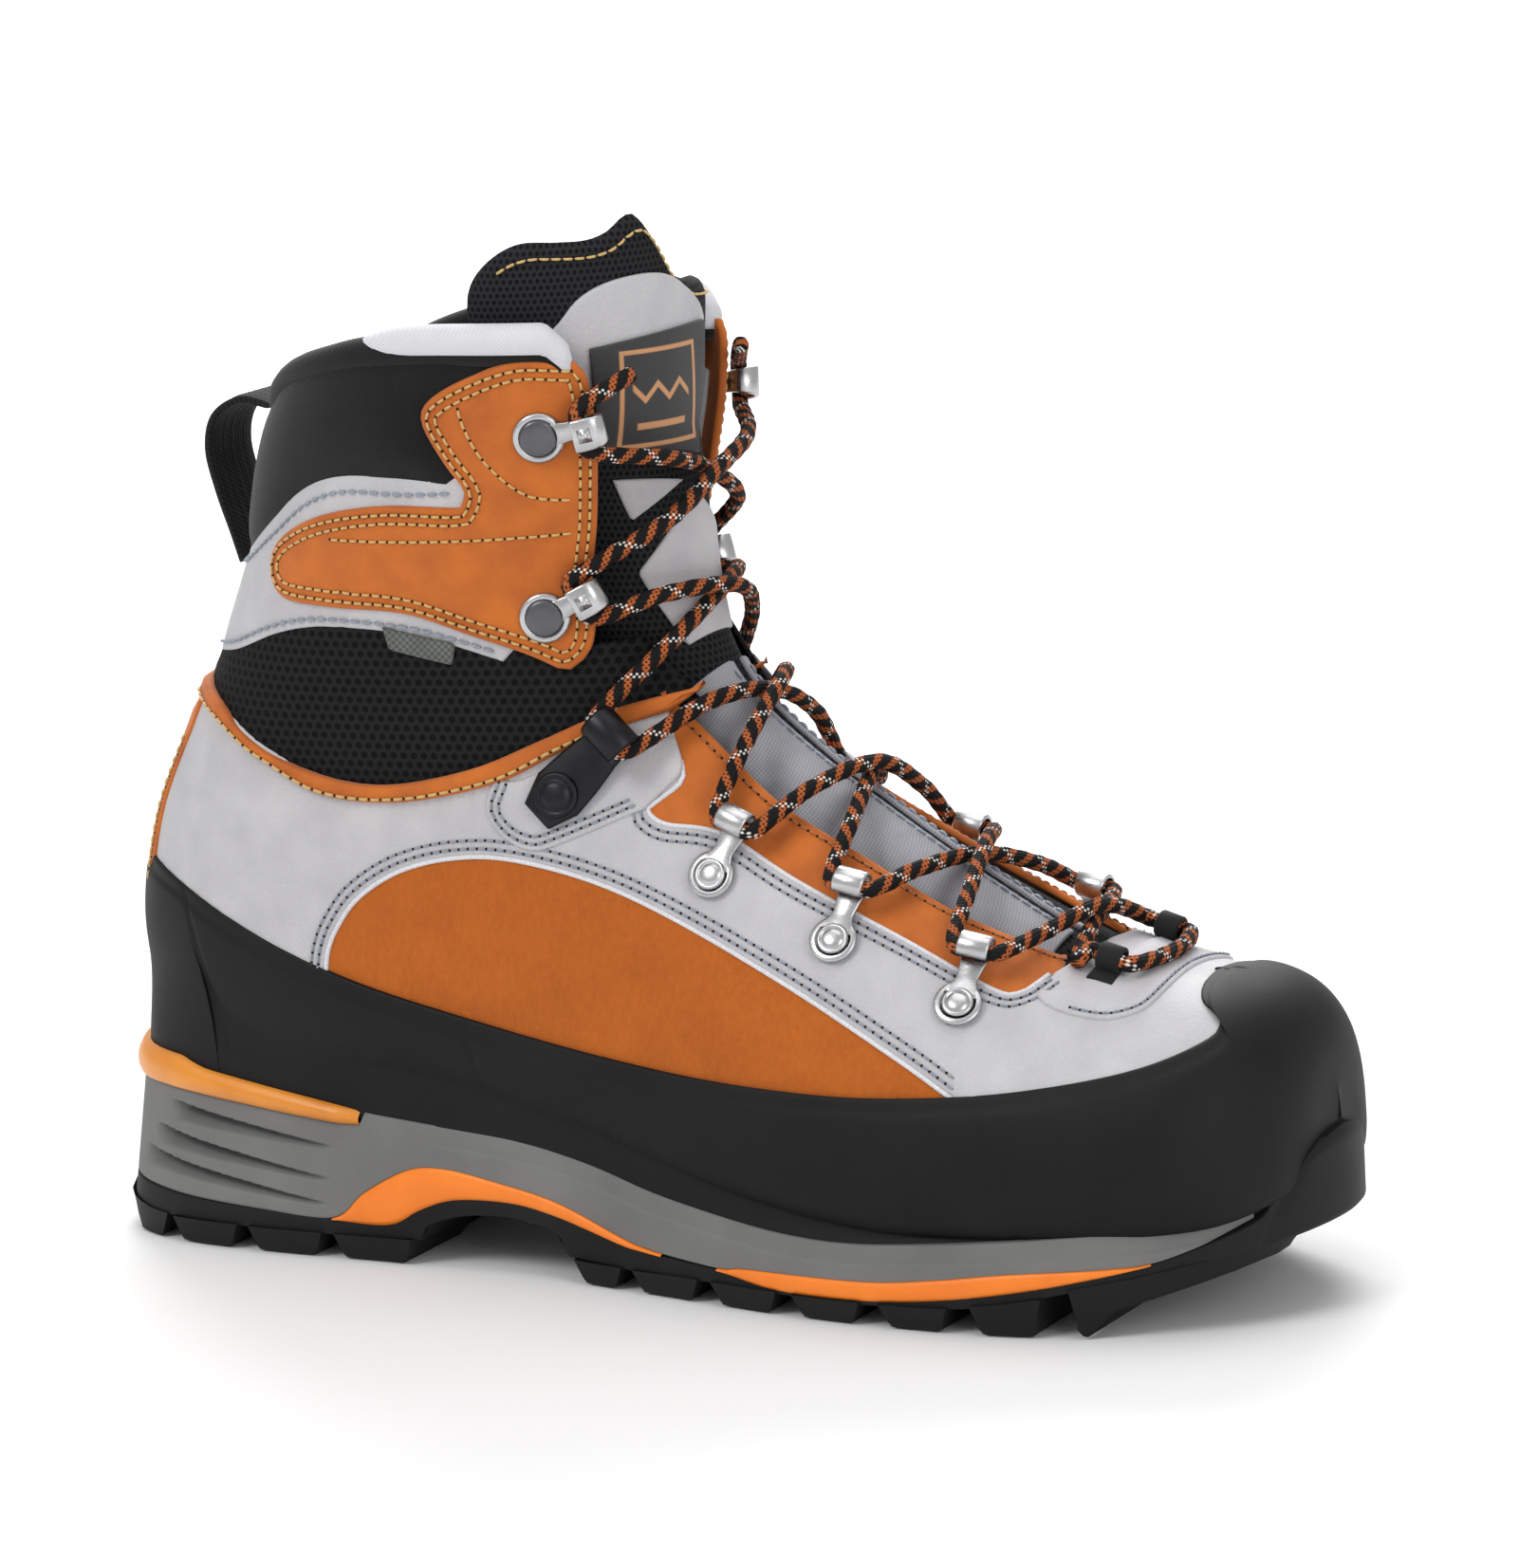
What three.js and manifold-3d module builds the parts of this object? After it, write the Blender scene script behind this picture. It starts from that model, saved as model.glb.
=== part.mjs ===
// Right-foot mountaineering boot, EU size 42: crampon-compatible sole, rubber rand, two-lobed
// leather cuff, padded collar, lace hardware and a threaded lace.
// Millimetres. +X towards the toe, +Y towards the medial side, +Z up, ground at z = 0.
import * as THREE from "three";
import { mergeVertices } from "three/addons/utils/BufferGeometryUtils.js";
import { ParametricGeometry } from "three/addons/geometries/ParametricGeometry.js";
import Module from "manifold-3d";

const wasm = await Module();
wasm.setup();

// ---- driving dimensions ----
const SOLE_LENGTH = 305;
const HALF_LENGTH = SOLE_LENGTH / 2;
const GAP = 0.3;
const SKIN_LOW = 0.4;
const SKIN_HIGH = 2.2;
const RAND_HIGH = 3.0;
const PAD_HIGH = 3.4;
const SOLE_SEAT = RAND_HIGH + GAP;
const LINING_IN = -4.6;
const LINING_OUT = 0.1;
const LUG_DEPTH = 5;
const LUG_PITCH = 21.5;
const LACE_DIAMETER = 4.6;
const LAST_RINGS = 19;
const SECTION_SIDES = 18;
const WIDE = 90;

// Stations of the boot last, toe to collar. Each one is a section plane through Y:
// front point x z, back point x z, half width lateral and medial,
// place of the widest point (0 front, 1 back), squareness of the front and of the back half.
const STATIONS = [
  [148, 46, 148, 38, 0.8, 0.8, 0.55, 2.0, 2.0],
  [146.5, 57, 147, 27, 17, 15, 0.6, 2.2, 3.0],
  [141.5, 64, 143, 24, 29, 25, 0.65, 2.3, 3.5],
  [131.5, 68, 133, 22, 39, 34, 0.68, 2.3, 4.0],
  [114, 69.5, 114, 20.5, 46, 42, 0.7, 2.2, 4.0],
  [92, 76, 90, 19, 50.5, 46, 0.72, 2.0, 4.0],
  [66, 90, 58, 18.5, 52, 45, 0.76, 1.9, 4.0],
  [42, 105, 22, 23, 48, 40, 0.78, 1.9, 4.0],
  [24, 117.5, -18, 32, 41.5, 35.5, 0.76, 2.0, 4.0],
  [11, 129, -58, 38, 37.5, 34.5, 0.72, 2.1, 4.0],
  [4, 140, -102, 39, 37, 36, 0.68, 2.2, 3.5],
  [1.5, 149, -134, 46, 36.5, 36, 0.66, 2.3, 2.6],
  [0.5, 157, -145, 66, 36.5, 36, 0.66, 2.3, 2.1],
  [0, 165, -141, 92, 36.5, 36.5, 0.64, 2.3, 2.1],
  [0.5, 174, -129.5, 117, 37, 37, 0.6, 2.3, 2.1],
  [1, 184, -117, 143, 38.5, 38.5, 0.56, 2.3, 2.1],
  [2, 195, -107, 169, 40, 40, 0.53, 2.3, 2.1],
  [3, 209, -101, 193, 41.5, 41.5, 0.52, 2.3, 2.1],
  [3.5, 226, -96, 214, 42, 42, 0.52, 2.3, 2.1],
  [4, 243, -92, 234, 42, 42, 0.52, 2.3, 2.1],
];
const LAST_STATION = STATIONS.length - 1;

// ---- the last's surface ----
function station(s) {
  const place = Math.min(Math.max(s, 0), LAST_STATION);
  const i = Math.min(Math.floor(place), LAST_STATION - 1);
  const f = place - i;
  const b = STATIONS[i];
  const c = STATIONS[i + 1];
  const a = STATIONS[i - 1] ?? b.map((value, k) => 2 * value - c[k]);
  const d = STATIONS[i + 2] ?? c.map((value, k) => 2 * value - b[k]);
  return b.map((value, k) => 0.5 * (2 * value + (c[k] - a[k]) * f
    + (2 * a[k] - 5 * value + 4 * c[k] - d[k]) * f * f
    + (3 * value - a[k] - 3 * c[k] + d[k]) * f * f * f));
}

// phi runs round the section: 0 front ridge, +-PI the back or sole line, negative lateral.
function lastPoint(s, phi) {
  const [fx, fz, bx, bz, lateral, medial, widest, squareFront, squareBack] = station(s);
  const turn = Math.abs(phi);
  const front = turn <= Math.PI / 2;
  const power = 2 / (front ? squareFront : squareBack);
  const along = Math.abs(Math.cos(turn)) ** power;
  const across = Math.abs(Math.sin(turn)) ** power;
  const depth = front ? widest * (1 - along) : widest + (1 - widest) * along;
  const half = phi < 0 ? -lateral : medial;
  return new THREE.Vector3(fx + depth * (bx - fx), half * across, fz + depth * (bz - fz));
}

function lastNormal(s, phi) {
  const step = 0.02;
  const low = Math.max(s - step, 0);
  const high = Math.min(s + step, LAST_STATION);
  const alongS = lastPoint(high, phi).sub(lastPoint(low, phi));
  const alongPhi = lastPoint(s, phi + step).sub(lastPoint(s, phi - step));
  return alongPhi.cross(alongS).normalize();
}

function offLast(s, phi, offset) {
  return lastPoint(s, phi).addScaledVector(lastNormal(s, phi), offset);
}

// ---- solids ----
function toSolid(geometry) {
  const bare = geometry.clone();
  bare.deleteAttribute("normal");
  bare.deleteAttribute("uv");
  const merged = mergeVertices(bare, 1e-3);
  const index = merged.index.array;
  const triVerts = [];
  for (let i = 0; i < index.length; i += 3) {
    const [a, b, c] = [index[i], index[i + 1], index[i + 2]];
    if (a !== b && b !== c && c !== a) triVerts.push(a, b, c);
  }
  const vertProperties = new Float32Array(merged.attributes.position.array);
  return new wasm.Manifold(new wasm.Mesh({
    numProp: 3, vertProperties, triVerts: new Uint32Array(triVerts),
  }));
}

function toGeometry(solid) {
  const mesh = solid.getMesh();
  const geometry = new THREE.BufferGeometry();
  geometry.setAttribute("position", new THREE.BufferAttribute(mesh.vertProperties, 3));
  geometry.setIndex(new THREE.BufferAttribute(mesh.triVerts, 1));
  geometry.computeVertexNormals();
  return geometry;
}

// Closed skin through rings of points: rings(u) gives the ring's point function of v in 0..1.
function lofted(rows, sides, pointAt) {
  const grid = (u, v, target) => {
    const row = Math.round(u * (rows + 1));
    const ring = Math.min(Math.max(row - 1, 0), rows - 1);
    if (row > 0 && row <= rows) return target.copy(pointAt(ring / (rows - 1), v % 1));
    target.set(0, 0, 0);
    for (let k = 0; k < sides; k++) target.add(pointAt(ring / (rows - 1), k / sides));
    return target.divideScalar(sides);
  };
  return toSolid(new ParametricGeometry(grid, rows + 1, sides));
}

const bodies = new Map();
// The last grown or shrunk by an offset, as a closed solid. All of them share their rings, so
// that walls keep their thickness. A shrunk one starts a ring behind the toe's tip.
function lastBody(offset) {
  if (!bodies.has(offset)) {
    const first = offset < -1 ? 1 : 0;
    const rows = LAST_RINGS + 1 - first;
    const ring = LAST_STATION / LAST_RINGS;
    bodies.set(offset, lofted(rows, SECTION_SIDES,
      (u, v) => offLast((first + u * (rows - 1)) * ring, (0.5 - v) * 2 * Math.PI, offset)));
  }
  return bodies.get(offset);
}

// The wall between two offsets of the last.
function wall(inner, outer) {
  return lastBody(outer).subtract(lastBody(inner));
}

// A piece of wall with its own edges: station range and half-angles as functions of u.
function patch({ from, to, low, high, inner, outer, rows = 6, cells = 6 }) {
  const sides = 2 * (cells + 1);
  return lofted(rows, sides, (u, v) => {
    const k = Math.round(v * sides);
    const top = k <= cells;
    const w = top ? k / cells : (2 * cells + 1 - k) / cells;
    const phi = high(u) + w * (low(u) - high(u));
    const s = from + u * (to - from);
    return offLast(s, phi, top ? outer(u, phi) : inner(u, phi));
  });
}

// Outline stretches: a stretch of two points is straight, a longer one is a smooth curve.
function outline(...stretches) {
  return stretches.flatMap((points) => {
    const plain = points.map(([x, z]) => new THREE.Vector2(x, z));
    if (plain.length < 3) return plain;
    return new THREE.SplineCurve(plain).getPoints(plain.length - 1 + (plain.length < 6 ? 3 : 0));
  });
}

function sidePrism(points, yLow = -WIDE, yHigh = WIDE) {
  const geometry = new THREE.ExtrudeGeometry(new THREE.Shape(points),
    { depth: yHigh - yLow, bevelEnabled: false });
  geometry.rotateX(Math.PI / 2);
  geometry.translate(0, yHigh, 0);
  return toSolid(geometry);
}

function box(x0, x1, y0, y1, z0, z1) {
  const geometry = new THREE.BoxGeometry(x1 - x0, y1 - y0, z1 - z0);
  geometry.translate((x0 + x1) / 2, (y0 + y1) / 2, (z0 + z1) / 2);
  return toSolid(geometry);
}

// The outline moved outwards by a distance, for the clearance round a neighbour.
function grown(points, distance) {
  const turn = THREE.ShapeUtils.isClockWise(points) ? -1 : 1;
  return points.map((point, i) => {
    const before = points[(i + points.length - 1) % points.length];
    const after = points[(i + 1) % points.length];
    const a = point.clone().sub(before).normalize();
    const b = after.clone().sub(point).normalize();
    const out = new THREE.Vector2(a.y + b.y, -a.x - b.x).normalize();
    return point.clone().addScaledVector(out, turn * distance);
  });
}

const LATERAL = { name: "lateral", sign: -1, low: -WIDE, high: -GAP / 2 };
const MEDIAL = { name: "medial", sign: 1, low: GAP / 2, high: WIDE };
const SIDES = [LATERAL, MEDIAL];

// The half of the boot on one side of its middle plane.
function halfOf(side) {
  return box(-170, 170, side.low, side.high, -10, 260);
}

// ---- seam lines of the upper, in side view (x, z) ----
const RAND_EDGE = [[-170, 89], [-140, 89], [-123, 85], [-93, 71.5], [-68, 63.5], [-31, 56], [7, 51.5],
  [45, 50], [78, 51], [99, 53], [118, 56.5], [129, 61], [129.5, 64], [124, 66.5], [119, 69.5], [121, 80]];
const THROAT_EDGE = [[94, 90], [91, 74], [86, 76], [66, 84.5], [46, 95], [26, 106], [13, 116], [4, 124],
  [-4, 132], [-7, 143], [-6, 160], [-4, 180], [-3, 206], [-3, 260]];
const FLEX_TOP = [[-170, 134], [-110, 136], [-102, 139.5], [-90, 145], [-77, 147.5], [-58, 146.5],
  [-46, 143.5], [-34, 139.5], [-20, 137.5], [20, 137.5]];
const FLEX_BOTTOM = [[-170, 129], [-112, 129], [-101, 121], [-90, 115.5], [-76, 111.5], [-62, 111],
  [-43, 115], [-28, 121], [-14, 127], [-5, 129.5], [20, 133]];
const TRIM_BOTTOM = [[-170, 125], [-110, 125], [-104, 123], [-95, 116.2], [-81, 108.2], [-61, 107],
  [-38, 111.5], [-23, 118.5], [-11, 123.5], [-1, 126.5], [20, 129]];
const PAD_DROP = 4.5;
const COLLAR_LINE = [[-170, 190], [-104, 190], [-97, 195], [-85, 203], [-71, 207.5], [-58, 210], [-40, 211],
  [-11, 210.5], [20, 209]];

function below(line, drop = 0) {
  const top = outline(line).map((point) => new THREE.Vector2(point.x, point.y - drop));
  const last = top[top.length - 1];
  return [...top, new THREE.Vector2(last.x + 200, last.y), new THREE.Vector2(last.x + 200, -20),
    new THREE.Vector2(top[0].x, -20)];
}

const randRegion = sidePrism(below(RAND_EDGE));
const randRegionGrown = sidePrism(grown(below(RAND_EDGE), GAP));
const underFlex = sidePrism(below(FLEX_BOTTOM, GAP));
const underFlexTop = sidePrism(below(FLEX_TOP));
const underFlexTopGrown = sidePrism(below(FLEX_TOP, -GAP));
const underTrim = sidePrism(below(TRIM_BOTTOM, GAP));
const underCollar = sidePrism(below(COLLAR_LINE));
const underPad = sidePrism(below(COLLAR_LINE, PAD_DROP));
const throat = sidePrism(outline(THROAT_EDGE, [[220, 260]], [[220, 90]]));
const throatInside = throat.translate(-4, 0, -6);

// ---- scene graph ----
const boot = new THREE.Group();
const assembly = new THREE.Group();
boot.add(assembly);

const LOOK = {
  blackRubber: { color: 0x1b1b1d, roughness: 0.75, metalness: 0 },
  greySole: { color: 0x7b7d80, roughness: 0.6, metalness: 0 },
  orangePlastic: { color: 0xf07c1c, roughness: 0.4, metalness: 0 },
  amberPlastic: { color: 0xe59a32, roughness: 0.4, metalness: 0 },
  board: { color: 0x8c8271, roughness: 0.9, metalness: 0 },
  foam: { color: 0x2b2b2e, roughness: 0.95, metalness: 0 },
  orangeSuede: { color: 0xc9701f, roughness: 0.9, metalness: 0 },
  orangeNubuck: { color: 0xe07f22, roughness: 0.8, metalness: 0 },
  greySynthetic: { color: 0xb9b7bd, roughness: 0.65, metalness: 0 },
  blackMesh: { color: 0x17171a, roughness: 0.9, metalness: 0 },
  greyBinding: { color: 0xd5d6da, roughness: 0.8, metalness: 0 },
  blackWebbing: { color: 0x141416, roughness: 0.85, metalness: 0 },
  steel: { color: 0xb4b6b8, roughness: 0.3, metalness: 1 },
  blackMetal: { color: 0x202124, roughness: 0.4, metalness: 0.6 },
  lace: { color: 0x5a3322, roughness: 0.9, metalness: 0 },
};

function addGeometry(name, geometry, look) {
  const mesh = new THREE.Mesh(geometry, new THREE.MeshStandardMaterial({ ...LOOK[look] }));
  mesh.name = name;
  assembly.add(mesh);
  return mesh;
}

// Keeps a solid's largest piece, so slivers cut loose by a neighbour don't stay behind.
function largest(solid) {
  return solid.decompose().reduce((a, b) => (b.volume() > a.volume() ? b : a));
}

function add(name, solid, look) {
  return addGeometry(name, toGeometry(largest(solid)), look);
}

// ---- sole ----
// Plan outline of the tread, toe tip round the lateral side to the heel and back.
const SOLE_OUTLINE = new THREE.CatmullRomCurve3([
  [152.5, -2], [148.5, -20], [137, -35], [116, -46.5], [92, -52.5], [66, -54], [36, -52], [4, -46.5],
  [-30, -41], [-70, -39], [-106, -38.5], [-130, -34.5], [-146, -23], [-152.5, 0], [-146, 22], [-130, 33.5],
  [-106, 37.5], [-70, 36.5], [-30, 36], [4, 39], [36, 44], [66, 47], [92, 46.5], [116, 41], [137, 30],
  [148.5, 16],
].map(([x, y]) => new THREE.Vector3(x, y, 0)), true);
const SOLE_SIDES = 32;
const HEEL_TAPER = 0.00052;
const WALL_TAPER = 0.0011;
const SOLE_BLOCK_TOP = 60;

// Block of the sole between two heights, drawn in towards the top, less an inset all round.
function soleBlock(zLow, zHigh, inset = 0) {
  return lofted(2, SOLE_SIDES, (u, v) => {
    const z = zLow + u * (zHigh - zLow);
    const point = SOLE_OUTLINE.getPointAt(v);
    const tangent = SOLE_OUTLINE.getTangentAt(v);
    const inward = new THREE.Vector3(tangent.y, -tangent.x, 0).normalize();
    point.addScaledVector(inward, inset);
    point.x = HALF_LENGTH - (HALF_LENGTH - point.x) * (1 - HEEL_TAPER * z);
    point.y *= 1 - WALL_TAPER * z;
    point.z = z;
    return point;
  });
}

const TREAD_TOP_HEEL = [[-160, 17], [-140, 14.8], [-125, 12.2], [-105, 9.9], [-86, 9.4]];
const ARCH_TOP = [[-86, 9.4], [-78, 16], [-67, 22], [-57, 23], [-43, 21], [-27, 18], [-9, 12.5]];
const ARCH_BOTTOM = [[-9, 11], [-26, 15], [-39, 17], [-54, 16.5], [-63, 13.5], [-71, 9.4]];
const BALL_TOP = [[26, 9.2], [57, 9.5], [87, 12.6], [116, 16.8]];
const BALL_BOTTOM = [[116, 15.6], [100, 11], [68, 6.6], [34, 6.4], [26, 7.6]];
const FEATHER = [[142, 28], [110, 24.5], [76, 21], [53, 20], [30, 24], [7, 28], [-17, 34], [-41, 39.5],
  [-72, 41], [-102, 42], [-120, 45], [-160, 52]];
const WELT_END = -80;
const WELT_WIDTH = 7;
const WELT_BOTTOM = [[WELT_END, 34.5], [-110, 35.5], [-133, 37.5], [-160, 41]];

const seat = lastBody(SOLE_SEAT);
const archRegion = outline(ARCH_TOP, ARCH_BOTTOM);
const ballRegion = outline(BALL_TOP, BALL_BOTTOM);
const weltRegion = outline([[WELT_END, 60], [WELT_END, 34.5]], WELT_BOTTOM, [[-160, 41], [-160, 60]]);
const soleProfile = outline(TREAD_TOP_HEEL, [[-60, 9.4], [-40, 12]], [[-9, 11], [8, 8.5], [26, 7.6]],
  [[34, 6.4], [68, 6.6], [100, 11], [116, 15.6], [141, 24]], FEATHER);

function heelGrooves() {
  const lines = [[-127, 30.5, -84, 25.5], [-131, 25, -86, 20], [-134, 19.5, -90, 15.5]];
  const height = 2.6;
  const depth = 2.6;
  const core = soleBlock(0, SOLE_BLOCK_TOP, depth);
  return lines.map(([x0, z0, x1, z1]) => sidePrism(outline([[x0, z0], [x1, z1]],
    [[x1, z1 - height / 2], [x0, z0 - height]])).subtract(core));
}

function addSole() {
  const whole = soleBlock(-2, SOLE_BLOCK_TOP);
  const arch = sidePrism(archRegion);
  const ball = sidePrism(ballRegion);
  let midsole = whole.intersect(sidePrism(soleProfile)).subtract(seat);
  midsole = midsole.subtract(sidePrism(grown(archRegion, GAP))).subtract(sidePrism(grown(ballRegion, GAP)));
  const weltCore = soleBlock(0, SOLE_BLOCK_TOP + 2, WELT_WIDTH);
  const weltTop = sidePrism(below([...FEATHER].reverse(), -1));
  const welt = whole.intersect(sidePrism(weltRegion)).intersect(weltTop).subtract(weltCore).subtract(seat);
  const weltStep = soleBlock(0, SOLE_BLOCK_TOP + 2, WELT_WIDTH + GAP);
  midsole = midsole.subtract(sidePrism(grown(weltRegion, GAP)).subtract(weltStep));
  for (const groove of heelGrooves()) midsole = midsole.subtract(groove);
  add("midsole", midsole, "greySole");
  add("heel_welt", welt, "amberPlastic");
  add("arch_insert", whole.intersect(arch), "orangePlastic");
  add("forefoot_insert", whole.intersect(ball), "orangePlastic");
}

// Ground side of the lugs.
const GROUND = [[-160, 5], [-142, 1.2], [-134, 0], [92, 0], [104, 3.6], [119, 8], [136, 13], [156, 17]];
const TREAD_TOP = outline([[-160, 16.7], [-140, 14.5], [-125, 11.9], [-105, 9.6], [-86, 9.1]],
  [[-71, 9.1], [-63, 13.2], [-54, 16.2], [-39, 16.7], [-26, 14.7], [-9, 10.7], [8, 8.2], [26, 7.3]],
  [[34, 6.1], [68, 6.3], [100, 10.7], [116, 15.3], [141.5, 23.7]],
  [[142.5, 24.5], [144, 30], [148, 39], [151, 45], [156, 47]]);
const ARCH_HOLLOW = outline([[-64, -5], [-63, 4], [-58, 9.5], [-50, 12], [-38, 12.5], [-26, 9.5], [-21, 4],
  [-20, -5]]);
const CUT_LOW = -3;
const CHANNEL = 3.5;
const FOREFOOT = { start: -6, lugs: 7, rowEdge: 15, slot: 3.2, slotGrowth: 0.7, middleSlot: 4, toe: 130 };
const HEEL = { start: -126, end: -62, rowEdge: 10, slots: [-109.5, -86.5], slot: 4.4 };
const CHANNEL_STEPS = { starts: [-20, 10, 40, 70, 100], length: 30.01 };

// Top of the cuts between the lugs; the web over them rises with the toe spring.
function webHeight(x) {
  return LUG_DEPTH + Math.max(0, x - 84) * 0.27;
}

// Room for the cut between two lugs, from the row's edge out through the side wall.
function sideSlot(side, x, width, rowEdge, top) {
  const [y0, y1] = side.sign < 0 ? [-WIDE, -rowEdge] : [rowEdge, WIDE];
  return box(x - width / 2, x + width / 2, y0, y1, CUT_LOW, top);
}

function lengthwiseChannel(x0, x1, y, top) {
  return box(x0, x1, y - CHANNEL / 2, y + CHANNEL / 2, CUT_LOW, top);
}

function forefootCuts() {
  const { start, lugs, rowEdge, slot, slotGrowth, middleSlot, toe } = FOREFOOT;
  const cuts = [];
  for (let i = 0; i < lugs; i++) {
    const x = start + LUG_PITCH * i;
    for (const side of SIDES) cuts.push(sideSlot(side, x, slot + slotGrowth * i, rowEdge, webHeight(x)));
    const middle = x + LUG_PITCH / 2;
    if (middle > toe) continue;
    cuts.push(box(middle - middleSlot / 2, middle + middleSlot / 2, -rowEdge, rowEdge, CUT_LOW,
      webHeight(middle)));
  }
  for (const side of SIDES) {
    for (const x of CHANNEL_STEPS.starts) {
      cuts.push(lengthwiseChannel(x, x + CHANNEL_STEPS.length, side.sign * rowEdge, webHeight(x)));
    }
  }
  return cuts;
}

function heelCuts() {
  const cuts = [];
  for (const side of SIDES) {
    cuts.push(lengthwiseChannel(HEEL.start, HEEL.end, side.sign * HEEL.rowEdge, LUG_DEPTH));
    for (const x of HEEL.slots) cuts.push(sideSlot(side, x, HEEL.slot, HEEL.rowEdge, LUG_DEPTH));
  }
  return cuts;
}

function addOutsole() {
  const profile = [...TREAD_TOP, ...outline(...[...GROUND].reverse().map((point) => [point]))];
  let tread = soleBlock(-2, SOLE_BLOCK_TOP).intersect(sidePrism(profile)).subtract(seat);
  tread = tread.subtract(sidePrism(ARCH_HOLLOW));
  tread = tread.subtract(sidePrism(grown(archRegion, GAP))).subtract(sidePrism(grown(ballRegion, GAP)));
  for (const cut of [...forefootCuts(), ...heelCuts()]) tread = tread.subtract(cut);
  add("outsole", tread, "blackRubber");
}

// ---- inside: board, footbed, lining ----
const SOLE_LINE = [[149, 44], [147, 27], [143, 24], [133, 22], [114, 20.5], [90, 19], [58, 18.5], [22, 23],
  [-18, 32], [-58, 38], [-102, 39.5], [-134, 44], [-149, 50]];
const BOARD_BAND = { low: 0.4, high: 2.6 };
const FOOTBED_BAND = { low: 3.1, high: 7 };

// Slice of the last between two heights over its sole line.
function soleBand(low, high) {
  const lift = (points, rise) => points.map(([x, z]) => [x, z + rise]);
  return sidePrism(outline(lift(SOLE_LINE, low), lift([...SOLE_LINE].reverse(), high)));
}

function addInside() {
  const inner = lastBody(-0.2);
  const cavity = lastBody(LINING_IN - GAP);
  const board = soleBand(BOARD_BAND.low, BOARD_BAND.high);
  const boardClear = soleBand(-12, BOARD_BAND.high + GAP);
  add("insole_board", inner.intersect(board), "board");
  add("footbed", cavity.intersect(soleBand(FOOTBED_BAND.low, FOOTBED_BAND.high)), "foam");
  const lining = wall(LINING_IN, LINING_OUT).subtract(boardClear).subtract(throatInside)
    .intersect(underFlex);
  for (const side of SIDES) add(`lining_${side.name}`, lining.intersect(halfOf(side)), "foam");
}

// ---- rubber rand ----
const HEEL_SEAM = [[-200, -20], [-38, -20], [-47, 100], [-200, 100]];
const TOE_SEAM = [[200, -20], [94, -20], [78, 56], [78, 100], [200, 100]];

function addRand() {
  const rand = wall(SKIN_LOW, RAND_HIGH).intersect(randRegion);
  const heel = sidePrism(outline(HEEL_SEAM.slice(0, 2), HEEL_SEAM.slice(2)));
  const toe = sidePrism(outline(TOE_SEAM.slice(0, 2), TOE_SEAM.slice(2, 4), TOE_SEAM.slice(4)));
  add("rand_heel", rand.intersect(heel), "blackRubber");
  add("rand_toe", rand.intersect(toe), "blackRubber");
  const cut = 0.3;
  const middle = rand.subtract(heel.translate(cut, 0, 0)).subtract(toe.translate(-cut, 0, 0));
  for (const side of SIDES) {
    add(`rand_${side.name}`, middle.intersect(halfOf(side)), "blackRubber");
  }
}

// ---- foot panels of the upper ----
const QUARTER = outline([[-84, 60], [-82.5, 68]], [[-82, 72], [-79, 78], [-73, 85], [-62, 91.5], [-48, 95],
  [-33, 95], [-10, 90], [15, 81], [42, 69.5], [66, 58], [80, 48]]);
const FACING = outline([[-3, 140], [-3, 120]], [[4, 117], [3, 112], [-3, 107], [2, 103], [15, 101],
  [34, 91.5], [61, 79.5], [81, 70.5], [88, 68.5], [90, 71], [93, 90]]);
const PATCH = outline([[-39, 112], [-40, 106], [-36, 100], [-29, 97], [-22, 99], [-3, 106.5]],
  [[-3, 120], [-9, 122]], [[-20, 118], [-32, 112.5], [-39, 112]]);

function addUpper() {
  const skin = wall(SKIN_LOW, SKIN_HIGH).subtract(randRegionGrown).subtract(throat).intersect(underFlex);
  const quarter = sidePrism(QUARTER);
  const facing = sidePrism(FACING);
  const ankle = sidePrism(PATCH);
  const backHalf = 12;
  const backstay = box(-170, -100, -backHalf, backHalf, 60, 140);
  const backClear = box(-170, -100, -backHalf - GAP, backHalf + GAP, 60, 140);
  add("backstay", skin.intersect(backstay), "orangeNubuck");
  const trim = skin.subtract(underTrim.translate(0, 0, 2 * GAP)).subtract(backClear)
    .subtract(sidePrism(grown(PATCH, GAP)));
  const base = skin.intersect(underTrim).subtract(backClear).subtract(sidePrism(grown(QUARTER, GAP)))
    .subtract(sidePrism(grown(FACING, GAP))).subtract(sidePrism(grown(PATCH, GAP)));
  for (const side of SIDES) {
    const half = halfOf(side);
    add(`quarter_${side.name}`, skin.intersect(half).intersect(quarter), "orangeSuede");
    add(`facing_${side.name}`, skin.intersect(half).intersect(facing).intersect(underTrim), "orangeNubuck");
    add(`ankle_patch_${side.name}`, skin.intersect(half).intersect(ankle), "greySynthetic");
    add(`topline_${side.name}`, trim.intersect(half), "orangeNubuck");
    add(`shell_${side.name}`, base.intersect(half), "greySynthetic");
  }
}

// ---- cuff ----
const CUFF_LEATHER = outline([[0, 208], [-10, 208], [-24, 207.5], [-35, 204], [-44, 199], [-46, 194],
  [-42, 185], [-38.5, 179], [-40, 175], [-59, 175], [-76, 171.5], [-88, 165], [-91, 158], [-87, 152.5],
  [-74, 151.5], [-56, 150.5], [-41, 145], [-30, 140.5], [-20, 138.5], [-10, 139.5], [0, 143]]);
const BAND_TOP = [[-170, 158], [-104, 159], [-92, 167], [-80, 175.5], [-68, 179.5], [-52, 179.5],
  [-41, 180], [-36, 183], [-30, 190]];

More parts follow.
